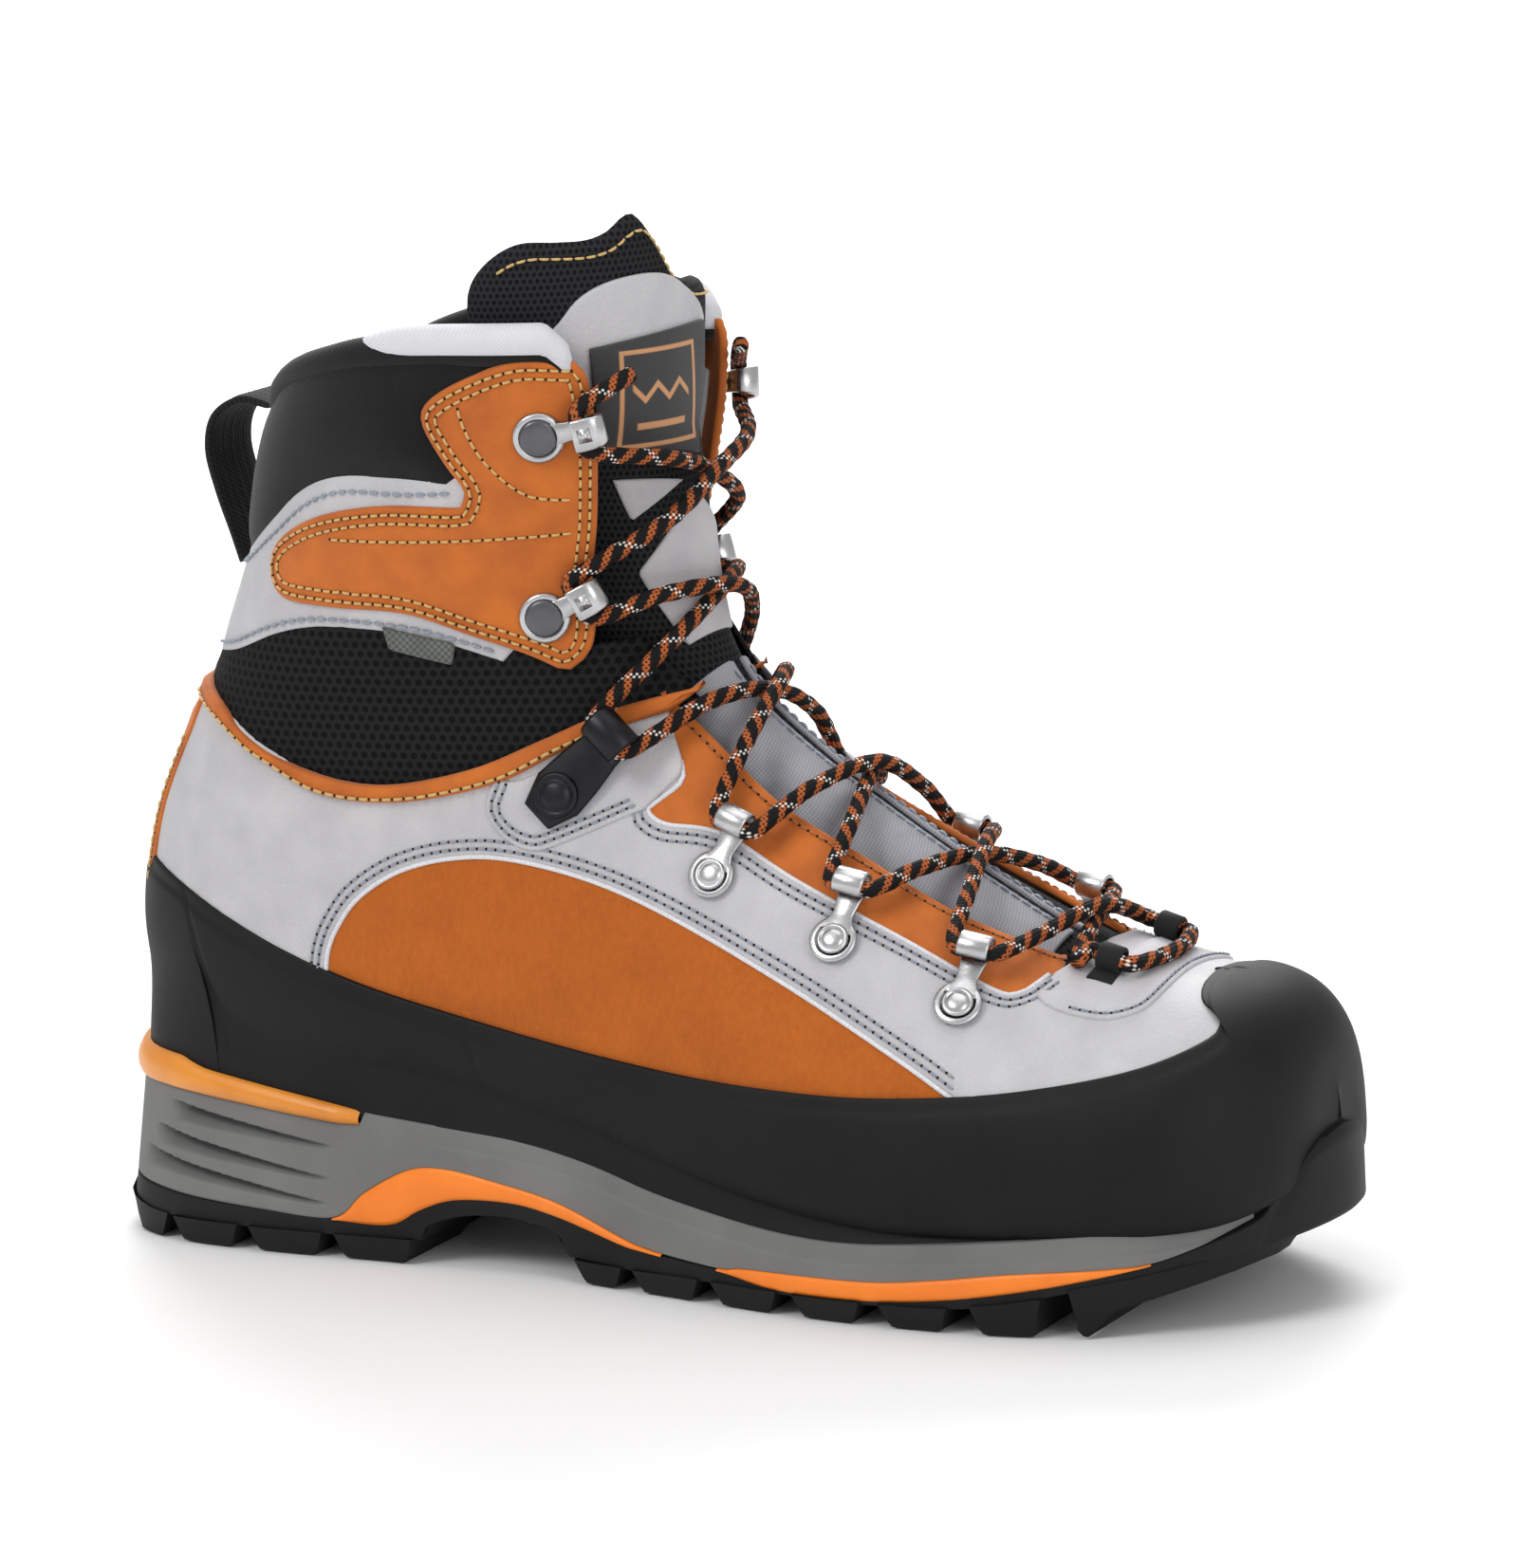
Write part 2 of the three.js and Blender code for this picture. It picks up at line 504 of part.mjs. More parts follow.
function addCuff() {
  const above = wall(SKIN_LOW, SKIN_HIGH).subtract(underFlexTopGrown).subtract(throat);
  const leather = above.intersect(underCollar).intersect(sidePrism(CUFF_LEATHER));
  const leatherClear = sidePrism(grown(CUFF_LEATHER, GAP));
  for (const side of SIDES) {
    add(`cuff_leather_${side.name}`, leather.intersect(halfOf(side)), "orangeNubuck");
  }
  const belowBand = sidePrism(below(BAND_TOP, GAP));
  const rest = above.subtract(leatherClear);
  const behind = box(-170, -30, -WIDE, WIDE, 100, 260);
  add("cuff_band", rest.intersect(belowBand).intersect(behind), "greySynthetic");
  const padWall = wall(SKIN_LOW, PAD_HIGH).subtract(throat).subtract(leatherClear).intersect(underPad)
    .subtract(sidePrism(below(BAND_TOP, -GAP))).intersect(behind);
  add("collar_pad", padWall, "blackMesh");
  const binding = wall(LINING_IN, SKIN_HIGH + 1).subtract(throatInside).intersect(underCollar)
    .subtract(sidePrism(below(COLLAR_LINE, PAD_DROP - GAP))).subtract(leatherClear);
  add("collar_binding", binding, "greyBinding");
  const lining = wall(LINING_IN, LINING_OUT).subtract(throatInside).intersect(underPad)
    .subtract(underFlexTopGrown);
  add("lining_cuff", lining, "foam");
}

// Soft mesh ring between foot and cuff; it folds and stretches as the ankle flexes.
function addFlexPanel() {
  const ring = wall(LINING_IN, SKIN_HIGH - 0.6).subtract(throatInside)
    .subtract(sidePrism(below(FLEX_BOTTOM))).intersect(underFlexTop);
  add("flex_panel", ring, "blackMesh");
}

// ---- tongue ----
const DEGREE = Math.PI / 180;
const TONGUE_THICK = 4.5;
const TONGUE_PLAY = 1.6;
function tongueHalf(s) {
  return (s < 9 ? 22 + 1.2 * s : 32.8 + 5.2 * (s - 9)) * DEGREE;
}
function tongueCrown(s, phi) {
  const open = (s < 9 ? 19 : 24) * DEGREE;
  const rise = Math.max(0, Math.cos(Math.min(Math.abs(phi) / open, 1) * Math.PI / 2));
  return LINING_IN - TONGUE_PLAY + 5 * rise;
}
function tonguePiece(from, to, rows, crown = tongueCrown) {
  const at = (u) => from + u * (to - from);
  return patch({
    from, to, rows, cells: 8,
    low: (u) => -tongueHalf(at(u)),
    high: (u) => tongueHalf(at(u)),
    outer: (u, phi) => crown(at(u), phi),
    inner: (u, phi) => crown(at(u), phi) - TONGUE_THICK,
  });
}

const TONGUE_FRONT = 5.2;
const CREASE_LOW = 9.1;
const CREASE_HIGH = 11;
const FOLD = 16.8;
const TONGUE_TIP = 18.3;
const SLIT = 0.05;
const LABEL = { from: 14.9, to: 16.6, half: 19 * DEGREE, seat: 2.5, thick: 1.2 };

function addTongue() {
  add("tongue_lower", tonguePiece(TONGUE_FRONT, CREASE_LOW, 5), "blackMesh");
  add("tongue_crease", tonguePiece(CREASE_LOW + SLIT, CREASE_HIGH, 3), "blackMesh");
  add("tongue_upper", tonguePiece(CREASE_HIGH + SLIT, FOLD, 6), "blackMesh");
  add("tongue_top", tonguePiece(FOLD + SLIT, TONGUE_TIP, 3), "blackMesh");
  const label = patch({
    from: LABEL.from, to: LABEL.to, rows: 3, cells: 4,
    low: () => -LABEL.half, high: () => LABEL.half,
    outer: (u, phi) => tongueCrown(FOLD, phi) + LABEL.seat + LABEL.thick,
    inner: (u, phi) => tongueCrown(FOLD, phi) + LABEL.seat,
  });
  add("label", label, "blackWebbing");
}

// ---- hardware ----
// Frame on the last: x towards the throat, y up along the boot, z out of the surface.
function frameAt(s, phi, offset) {
  const normal = lastNormal(s, phi);
  const forward = lastPoint(s, phi * 0.9).sub(lastPoint(s, phi)).normalize();
  forward.addScaledVector(normal, -forward.dot(normal)).normalize();
  const up = normal.clone().cross(forward);
  const matrix = new THREE.Matrix4().makeBasis(forward, up, normal);
  return matrix.setPosition(offLast(s, phi, offset));
}

function place(mesh, matrix) {
  matrix.decompose(mesh.position, mesh.quaternion, mesh.scale);
}

function disc(radius, height, x, z) {
  const geometry = new THREE.CylinderGeometry(radius, radius, height, 10);
  geometry.rotateX(Math.PI / 2);
  geometry.translate(x, 0, z + height / 2);
  return toSolid(geometry);
}

// Bar standing on height z, centred on x.
function bar(length, width, height, x, z) {
  const geometry = new THREE.BoxGeometry(length, width, height);
  geometry.translate(x, 0, z + height / 2);
  return toSolid(geometry);
}

function rivet(radius, x, z) {
  const profile = [[0, 0], [radius, 0], [radius * 0.8, 1.3], [0, 1.5]];
  const geometry = new THREE.LatheGeometry(profile.map(([r, h]) => new THREE.Vector2(r, h)), 8);
  geometry.rotateX(Math.PI / 2);
  geometry.translate(x, 0, z);
  return toSolid(geometry);
}

// Open barrel lying across the strap: the lace runs through it.
function barrel(outer, inner, width, x, z) {
  const make = (radius, length) => {
    const geometry = new THREE.CylinderGeometry(radius, radius, length, 8);
    geometry.translate(x, 0, z);
    return toSolid(geometry);
  };
  return make(outer, width).subtract(make(inner, width + 4));
}

const LACE_RADIUS = LACE_DIAMETER / 2;
const HARDWARE_SEAT = SKIN_HIGH + 1;
const EYELET = { plate: 6, strap: 5.5, reach: 13, bore: LACE_RADIUS + 0.8, metal: 0.9 };
const EYELETS = [{ s: 7.87, phi: 50 }, { s: 6.66, phi: 46.5 }, { s: 5.58, phi: 47 }];

function eyeletSolid() {
  const { plate, strap, reach, bore, metal } = EYELET;
  const outer = bore + metal;
  return disc(plate, metal, 0, 0).add(bar(reach - 1, strap, metal, reach / 2, 0))
    .add(barrel(outer, bore, strap + 2.5, reach, outer)).add(rivet(4, 0, metal - 0.1));
}

const HOOK = { plate: 7, strap: 5, reach: 15, metal: 1.2, mouth: LACE_DIAMETER + 1.8, throat: 10 };
const HOOKS = [{ name: "lower", s: 12.8, phi: 47 }, { name: "upper", s: 16.1, phi: 57 }];

function hookSolid() {
  const { plate, strap, reach, metal, mouth } = HOOK;
  return disc(plate, metal, 0, 0).add(bar(reach, strap, metal, reach / 2, 0))
    .add(bar(metal, strap + 2, mouth + metal, reach - 1, 0))
    .add(bar(8, strap + 4, metal, reach - 4.4, mouth + metal - 0.1)).add(rivet(4.6, 0, metal - 0.1));
}

const LOCK = { s: 9.76, phi: 56, tailHalf: 7, reach: 19, bore: LACE_RADIUS + 0.8 };
function lockSolid() {
  return disc(LOCK.tailHalf, 1.6, 0, 0).add(bar(22, 9, 1.6, 10, 0)).add(rivet(4.2, 0, 1.5))
    .add(barrel(LOCK.bore + 1.2, LOCK.bore, 9, LOCK.reach, LOCK.bore + 1.2));
}

// Stitched webbing loop at the foot of the throat, where the lace turns across.
const TOE_LOOP = { s: 4.6, phi: 17, bore: LACE_RADIUS + 0.8, webbing: 1.3, width: 6 };
function toeLoopSolid() {
  const { bore, webbing, width } = TOE_LOOP;
  return barrel(bore + webbing, bore, width, 0, bore + webbing);
}

function addHardware() {
  for (const side of SIDES) {
    EYELETS.forEach(({ s, phi }, i) => {
      const mesh = add(`eyelet_${side.name}_${i + 1}`, eyeletSolid(), "steel");
      place(mesh, frameAt(s, side.sign * phi * DEGREE, HARDWARE_SEAT));
    });
    for (const { name, s, phi } of HOOKS) {
      const mesh = add(`hook_${name}_${side.name}`, hookSolid(), "steel");
      place(mesh, frameAt(s, side.sign * phi * DEGREE, HARDWARE_SEAT));
    }
    const lock = add(`lock_hook_${side.name}`, lockSolid(), "blackMetal");
    place(lock, frameAt(LOCK.s, side.sign * LOCK.phi * DEGREE, HARDWARE_SEAT));
    const loop = add(`toe_loop_${side.name}`, toeLoopSolid(), "blackWebbing");
    place(loop, frameAt(TOE_LOOP.s, side.sign * TOE_LOOP.phi * DEGREE, SKIN_HIGH + GAP));
  }
}

// ---- lace ----
// One stop of the lace: straight through a barrel, or through a hook's mouth.
// Way -1 runs down the boot, +1 up.
function laceStop(side, { s, phi }, seat, reach, height, way) {
  const matrix = frameAt(s, side.sign * phi * DEGREE, seat);
  const half = 6.5;
  return [-half, 0, half].map((y) =>
    new THREE.Vector3(reach, y * way * -side.sign, height).applyMatrix4(matrix));
}

const CROSS_LOW = { middle: 3.3, shoulder: 7 };
const CROSS_HIGH = { middle: 8.6, shoulder: 9 };
const CROSS_TURN = 21 * DEGREE;
const LACE_START = { s: 16.7, phi: -32, height: 3.6 };
const LACE_END = { s: 16.7, phi: 15, height: 4.6 };

// The lace's way across the tongue from one stop to the next; one strand passes over the other.
function crossing(fromSide, s0, s1, high) {
  const { middle, shoulder } = high ? CROSS_HIGH : CROSS_LOW;
  const halfway = (s0 + s1) / 2;
  const onShell = halfway < TONGUE_FRONT ? SKIN_HIGH : 0;
  const turn = CROSS_TURN * fromSide.sign;
  const near = s0 + 0.3 * (s1 - s0);
  const far = s0 + 0.7 * (s1 - s0);
  return [offLast(near, turn, shoulder), offLast(halfway, 0, middle + onShell),
    offLast(far, -turn, shoulder)];
}

// The lace from one end to the other: down one side's turns, across the toe loops, and up again.
function laceRoute() {
  const stops = [
    ...[...HOOKS].reverse().map((hook) => ({ at: hook, seat: HARDWARE_SEAT, reach: HOOK.throat,
      height: HOOK.metal + LACE_RADIUS + 0.7 })),
    { at: LOCK, seat: HARDWARE_SEAT, reach: LOCK.reach, height: LOCK.bore + 1.2 },
    ...EYELETS.map((eyelet) => ({ at: eyelet, seat: HARDWARE_SEAT, reach: EYELET.reach,
      height: EYELET.bore + EYELET.metal })),
    { at: TOE_LOOP, seat: SKIN_HIGH + GAP, reach: 0, height: TOE_LOOP.bore + TOE_LOOP.webbing },
  ];
  const points = [];
  const centres = [];
  const walk = (order, startSide, way) => {
    let side = startSide;
    order.forEach(({ at, seat, reach, height }, i) => {
      points.push(...laceStop(side, at, seat, reach, height, way));
      centres.push(points.length - 2);
      const next = order[i + 1];
      if (next) points.push(...crossing(side, at.s, next.at.s, way > 0));
      side = side === LATERAL ? MEDIAL : LATERAL;
    });
  };
  points.push(offLast(LACE_START.s, LACE_START.phi * DEGREE, LACE_START.height));
  walk(stops, LATERAL, -1);
  points.push(offLast(TOE_LOOP.s - 0.4, 0, SKIN_HIGH + LACE_RADIUS + 1.2));
  walk([...stops].reverse(), MEDIAL, 1);
  points.push(offLast(LACE_END.s, LACE_END.phi * DEGREE, LACE_END.height));
  return { points, stops: centres };
}

// A curve whose even steps fall on its own points, so that a tube along it turns only there.
class RouteCurve extends THREE.CatmullRomCurve3 {
  getUtoTmapping(u) {
    return u;
  }
}

function laceTube(points) {
  const section = new THREE.Shape(new THREE.Path().absarc(0, 0, LACE_RADIUS, 0, 2 * Math.PI)
    .getPoints(4).slice(0, -1));
  return toSolid(new THREE.ExtrudeGeometry(section,
    { steps: points.length - 1, extrudePath: new RouteCurve(points), bevelEnabled: false }));
}

// The lace is cut inside the lock hooks and the lower hooks, where the ankle's flex begins and ends.
function addLace() {
  const { points, stops } = laceRoute();
  const names = ["lace_upper_lateral", "lace_crossing_low", "lace_lower", "lace_crossing_high",
    "lace_upper_medial"];
  const cuts = [0, stops[1], stops[2], stops[stops.length - 3], stops[stops.length - 2], points.length - 1];
  names.forEach((name, i) => {
    const piece = points.slice(cuts[i], cuts[i + 1] + 1);
    const trim = (end, next) => end.clone().addScaledVector(next.clone().sub(end).normalize(), GAP / 2);
    const first = trim(piece[0], piece[1]);
    const last = trim(piece[piece.length - 1], piece[piece.length - 2]);
    add(name, laceTube([first, ...piece.slice(1, -1), last]), "lace");
  });
}

// ---- pull loop ----
function addPullLoop() {
  const outer = [[-117.4, 154], [-119.5, 161], [-123, 171], [-125, 181], [-122.5, 190], [-114, 194],
    [-107.6, 192.7]];
  const inner = [[-107.6, 190.5], [-113.5, 191.7], [-120, 188.2], [-122.3, 181], [-120.5, 172],
    [-117.5, 163.5], [-116.4, 158.5]];
  const halfWidth = 9;
  add("pull_loop", sidePrism(outline(outer, inner), -halfWidth, halfWidth), "blackWebbing");
}

addSole();
addOutsole();
addInside();
addRand();
addUpper();
addCuff();
addFlexPanel();
addTongue();
addHardware();
addLace();
addPullLoop();

// The origin stands on the ground, under the middle of the boot's box.
const extent = new THREE.Box3().setFromObject(assembly, true);
const middle = extent.getCenter(new THREE.Vector3());
assembly.position.set(-middle.x, -middle.y, -extent.min.z);

export default boot;
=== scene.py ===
"""Visual model of a right mountaineering boot. Lengths are in millimetres until a mesh is made."""
import math

import bpy
import numpy as np
from mathutils import Matrix, Vector
from mathutils.geometry import delaunay_2d_cdt


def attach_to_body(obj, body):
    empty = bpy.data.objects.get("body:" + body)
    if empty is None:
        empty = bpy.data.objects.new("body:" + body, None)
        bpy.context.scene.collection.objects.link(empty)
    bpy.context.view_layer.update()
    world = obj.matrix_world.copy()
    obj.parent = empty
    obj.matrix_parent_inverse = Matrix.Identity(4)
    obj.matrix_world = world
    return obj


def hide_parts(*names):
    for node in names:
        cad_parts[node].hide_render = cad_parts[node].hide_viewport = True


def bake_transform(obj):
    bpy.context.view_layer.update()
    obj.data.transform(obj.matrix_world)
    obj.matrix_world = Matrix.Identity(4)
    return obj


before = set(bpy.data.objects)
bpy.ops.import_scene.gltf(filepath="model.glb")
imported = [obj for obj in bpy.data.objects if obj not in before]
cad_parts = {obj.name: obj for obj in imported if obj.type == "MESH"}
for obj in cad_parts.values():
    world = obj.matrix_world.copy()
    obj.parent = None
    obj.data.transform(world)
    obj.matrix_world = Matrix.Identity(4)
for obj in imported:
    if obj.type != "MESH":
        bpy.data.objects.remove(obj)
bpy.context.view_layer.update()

MM = 0.001
ORIGIN = np.array([-0.27, 2.98, 0.0])
LATERAL, MEDIAL = 1, -1
SIDES = {"lateral": LATERAL, "medial": MEDIAL}
PI = math.pi

# ---- the last: stations from toe to collar ----
# front point x z, back point x z, half width lateral and medial, widest place, front and back squareness
STATIONS = np.array([
    [144, 46, 144, 38, 0.8, 0.8, 0.55, 2.0, 2.0],
    [142.5, 57, 143, 27, 17, 15, 0.6, 2.2, 3.0],
    [138, 64, 139.5, 24, 29, 25, 0.65, 2.3, 3.5],
    [129, 68, 130.5, 22, 39, 34, 0.68, 2.3, 4.0],
    [113, 69.5, 113, 20.5, 46, 42, 0.7, 2.2, 4.0],
    [92, 76, 90, 19, 50.5, 46, 0.72, 2.0, 4.0],
    [66, 90, 58, 18.5, 52, 45, 0.76, 1.9, 4.0],
    [42, 105, 22, 23, 48, 40, 0.78, 1.9, 4.0],
    [24, 117.5, -18, 32, 41.5, 35.5, 0.76, 2.0, 4.0],
    [11, 129, -58, 38, 37.5, 34.5, 0.72, 2.1, 4.0],
    [4, 140, -102, 39, 37, 36, 0.68, 2.2, 3.5],
    [1.5, 149, -134, 46, 36.5, 36, 0.66, 2.3, 2.6],
    [0.5, 157, -145, 66, 36.5, 36, 0.66, 2.3, 2.1],
    [0, 165, -141, 92, 36.5, 36.5, 0.64, 2.3, 2.1],
    [0.5, 174, -129.5, 117, 37, 37, 0.6, 2.3, 2.1],
    [1, 184, -117, 143, 38.5, 38.5, 0.56, 2.3, 2.1],
    [2, 195, -107, 169, 40, 40, 0.53, 2.3, 2.1],
    [3, 209, -101, 193, 41.5, 41.5, 0.52, 2.3, 2.1],
    [3.5, 226, -96, 214, 42, 42, 0.52, 2.3, 2.1],
    [4, 243, -92, 234, 42, 42, 0.52, 2.3, 2.1],
])
LAST_STATION = len(STATIONS) - 1
HEEL_STATION = 11
EXTENDED = np.vstack([2 * STATIONS[0] - STATIONS[1], STATIONS, 2 * STATIONS[-1] - STATIONS[-2]])


def catmull(a, b, c, d, f):
    """A Catmull-Rom spline's value between b and c."""
    return 0.5 * (2 * b + (c - a) * f + (2 * a - 5 * b + 4 * c - d) * f * f
                  + (3 * b - a - 3 * c + d) * f ** 3)


def station(s):
    """A section of the last, between the rows of STATIONS."""
    place = np.clip(np.asarray(s, float), 0, LAST_STATION)
    i = np.minimum(place.astype(int), LAST_STATION - 1)
    f = (place - i)[..., None]
    return catmull(EXTENDED[i], EXTENDED[i + 1], EXTENDED[i + 2], EXTENDED[i + 3], f)


def surface(s, psi):
    """Point of the last. psi runs round the section: 0 front ridge, PI back, positive lateral."""
    rows = np.moveaxis(station(s), -1, 0)
    fx, fz, bx, bz, lateral, medial, widest, square_front, square_back = rows
    turn = (np.asarray(psi, float) + PI) % (2 * PI) - PI
    angle = np.abs(turn)
    front = angle <= PI / 2
    power = 2 / np.where(front, square_front, square_back)
    along = np.abs(np.cos(angle)) ** power
    across = np.abs(np.sin(angle)) ** power
    depth = np.where(front, widest * (1 - along), widest + (1 - widest) * along)
    half = np.where(turn > 0, -lateral, medial)
    point = np.stack([fx + depth * (bx - fx), half * across, fz + depth * (bz - fz)], -1)
    return point + ORIGIN


def unit(v):
    return v / (np.linalg.norm(v, axis=-1, keepdims=True) + 1e-12)


def slopes(s, psi, step=0.02):
    """The surface's two directions in 3-D, per unit of s and of psi."""
    along_s = (surface(s + step, psi) - surface(s - step, psi)) / (2 * step)
    along_psi = (surface(s, psi + step) - surface(s, psi - step)) / (2 * step)
    return along_s, along_psi


def normal(s, psi):
    along_s, along_psi = slopes(np.clip(s, 0.05, LAST_STATION - 0.05), psi)
    return unit(np.cross(along_s, along_psi))


def off(s, psi, height):
    """Points at a height above the last."""
    s, psi = np.broadcast_arrays(np.asarray(s, float), np.asarray(psi, float))
    return surface(s, psi) + normal(s, psi) * np.asarray(height)[..., None]


def chart(points, side=LATERAL):
    """(s, psi) of side-view points (x, z) on the last."""
    grid = np.linspace(0, LAST_STATION, 1521)
    rows = station(grid)
    front, back = rows[:, 0:2], rows[:, 2:4]
    out = []
    for p in np.asarray(points, float):
        line = back - front
        rel = p - front
        cross = line[:, 0] * rel[:, 1] - line[:, 1] * rel[:, 0]
        share = (line * rel).sum(1) / (line ** 2).sum(1)
        flips = np.nonzero(cross[:-1] * cross[1:] <= 0)[0]
        good = [k for k in flips if -0.2 < share[k] < 1.2] or [int(np.argmin(np.abs(cross)))]
        k = good[0]
        k2 = min(k + 1, len(grid) - 1)
        f = cross[k] / (cross[k] - cross[k2]) if cross[k] != cross[k2] else 0.0
        s = grid[k] + f * (grid[k2] - grid[k])
        a = float(np.clip(share[k] + f * (share[k2] - share[k]), 0, 1))
        widest, square_front, square_back = station(s)[6:9]
        if a <= widest:
            psi = math.acos(max(0.0, 1 - a / widest) ** (square_front / 2))
        else:
            psi = PI - math.acos(min(1.0, (a - widest) / (1 - widest)) ** (square_back / 2))
        out.append((s, psi * side))
    return np.array(out)


def reach_along(points):
    """Distance from the start of a polyline to each of its points."""
    steps = np.linalg.norm(np.diff(points, axis=0), axis=1)
    return np.concatenate([[0], np.cumsum(steps)])


def resample(points, step):
    """Points at even spacing along a polyline, ends kept."""
    points = np.asarray(points, float)
    reach = reach_along(points)
    count = max(2, int(round(reach[-1] / step)) + 1)
    at = np.linspace(0, reach[-1], count)
    return np.stack([np.interp(at, reach, points[:, k]) for k in range(points.shape[1])], 1)


def smooth(points, step=1.6, closed=False):
    """A smooth curve through the points, at even spacing."""
    p = np.asarray(points, float)
    if len(p) < 3:
        return resample(p, step)
    if closed:
        ext = np.vstack([p[-1], p, p[0], p[1]])
    else:
        ext = np.vstack([2 * p[0] - p[1], p, 2 * p[-1] - p[-2]])
    f = np.linspace(0, 1, 16, endpoint=False)[:, None]
    runs = [catmull(ext[i], ext[i + 1], ext[i + 2], ext[i + 3], f) for i in range(len(ext) - 3)]
    whole = np.vstack(runs + [ext[-2][None]])
    return resample(whole, step)


def path(*stretches, step=1.6):
    """Stretches joined at corners; a stretch of three or more points is smooth."""
    runs = [smooth(run, step) for run in stretches]
    out = [runs[0]]
    for run in runs[1:]:
        out.append(run[1:] if np.linalg.norm(run[0] - out[-1][-1]) < 0.5 else run)
    return np.vstack(out)


# ---- meshes ----
COLLECTION = bpy.context.scene.collection


def make(name, vertices, faces, material, body=None, uv=None):
    """A mesh object from millimetre points. body is a body's name, or blend's four values."""
    mesh = bpy.data.meshes.new(name)
    mesh.from_pydata((np.asarray(vertices, float) * MM).tolist(), [], [list(f) for f in faces])
    mesh.validate()
    if uv is not None:
        give_uv(mesh, uv)
    mesh.shade_smooth()
    mesh.materials.append(material)
    obj = bpy.data.objects.new(name, mesh)
    COLLECTION.objects.link(obj)
    attach(obj, body)
    return obj


def give_uv(mesh, uv):
    layer = mesh.uv_layers.new(name="UVMap")
    loops = np.empty(len(mesh.loops), int)
    mesh.loops.foreach_get("vertex_index", loops)
    layer.data.foreach_set("uv", np.asarray(uv, float)[loops].astype(np.float32).ravel())


def mesh_points(mesh):
    """A mesh's points, in metres."""
    co = np.empty(len(mesh.vertices) * 3)
    mesh.vertices.foreach_get("co", co)
    return co.reshape(-1, 3)


def attach(obj, body):
    """The piece follows a body; given a pair of bodies, its transform is only baked into its mesh."""
    if body is None:
        return
    if isinstance(body, str):
        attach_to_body(obj, body)
    else:
        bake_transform(obj)


def grid_faces(rows, cols, closed=False, start=0):
    """Quads of a rows x cols grid of points; closed joins the last column to the first."""
    i, j = np.meshgrid(np.arange(rows - 1), np.arange(cols if closed else cols - 1), indexing="ij")
    k = (j + 1) % cols
    quads = np.stack([i * cols + j, i * cols + k, (i + 1) * cols + k, (i + 1) * cols + j], -1)
    return (quads.reshape(-1, 4) + start).tolist()


def flipped(faces):
    return [list(f)[::-1] for f in faces]


def join(parts):
    """One vertex list and face list from several."""
    vertices, faces, base = [], [], 0
    for v, f in parts:
        vertices.append(np.asarray(v, float))
        faces.extend([[k + base for k in face] for face in f])
        base += len(v)
    return np.vstack(vertices), faces


def tube(points, radius, sides=10, closed=False, squash=1.0):
    """A round tube along a polyline, capped with fans at open ends."""
    p = np.asarray(points, float)
    n = len(p)
    if closed:
        tangent = unit(np.roll(p, -1, 0) - np.roll(p, 1, 0))
    else:
        tangent = unit(np.gradient(p, axis=0))
    side = np.cross(tangent[0], [0.0, 0.0, 1.0])
    if np.linalg.norm(side) < 0.1:
        side = np.cross(tangent[0], [0.0, 1.0, 0.0])
    side = unit(side)
    radii = np.broadcast_to(np.asarray(radius, float), (n,))
    angle = np.linspace(0, 2 * PI, sides, endpoint=False)
    rings = []
    for k in range(n):
        side = unit(side - tangent[k] * side.dot(tangent[k]))
        other = np.cross(tangent[k], side)
        rings.append(p[k] + radii[k] * (np.cos(angle)[:, None] * side
                                       + squash * np.sin(angle)[:, None] * other))
    vertices = np.vstack(rings)
    faces = grid_faces(n, sides, closed=True)
    if closed:
        last = (n - 1) * sides
        faces += [[last + j, last + (j + 1) % sides, (j + 1) % sides, j] for j in range(sides)]
    else:
        faces.append(list(range(sides))[::-1])
        faces.append(list(range((n - 1) * sides, n * sides)))
    return vertices, faces


def inside(points, polygon):
    """Which points lie inside a flat polygon."""
    x, y = points[:, 0][:, None], points[:, 1][:, None]
    a, b = polygon, np.roll(polygon, -1, 0)
    over = (a[:, 1] > y) != (b[:, 1] > y)
    dy = b[:, 1] - a[:, 1]
    cut = a[:, 0] + (y - a[:, 1]) * (b[:, 0] - a[:, 0]) / np.where(dy == 0, 1e-12, dy)
    return (over & (x < cut)).sum(1) % 2 == 1


def distance_to(points, line, closed=True):
    """Distance of each point to a polyline's segments."""
    a = line if closed else line[:-1]
    b = np.roll(line, -1, 0) if closed else line[1:]
    best = np.full(len(points), 1e9)
    ab = b - a
    length2 = (ab ** 2).sum(1) + 1e-12
    for start in range(0, len(points), 400):
        p = points[start:start + 400, None, :]
        t = np.clip(((p - a) * ab).sum(-1) / length2, 0, 1)
        gap = np.linalg.norm(p - (a + t[..., None] * ab), axis=-1)
        best[start:start + 400] = gap.min(1)
    return best


CHART_SCALE = np.array([14.0, 37.0])


def chart_curve(points, step=1.6):
    """A smooth chart line through (s, psi) points."""
    return smooth(points * CHART_SCALE, step) / CHART_SCALE


def from_degrees(points):
    """(s, psi) points from (s, degrees) points."""
    return np.array([(s, math.radians(angle)) for s, angle in points])


def chart_step(uv, move):
    """The chart step that makes a small 3-D move on the surface."""
    along_s, along_psi = slopes(np.clip(uv[:, 0], 0.05, LAST_STATION - 0.05), uv[:, 1])
    a = (along_s ** 2).sum(1)
    b = (along_s * along_psi).sum(1)
    c = (along_psi ** 2).sum(1)
    p = (along_s * move).sum(1)
    q = (along_psi * move).sum(1)
    det = a * c - b * b + 1e-9
    return np.stack([(c * p - b * q) / det, (a * q - b * p) / det], 1)


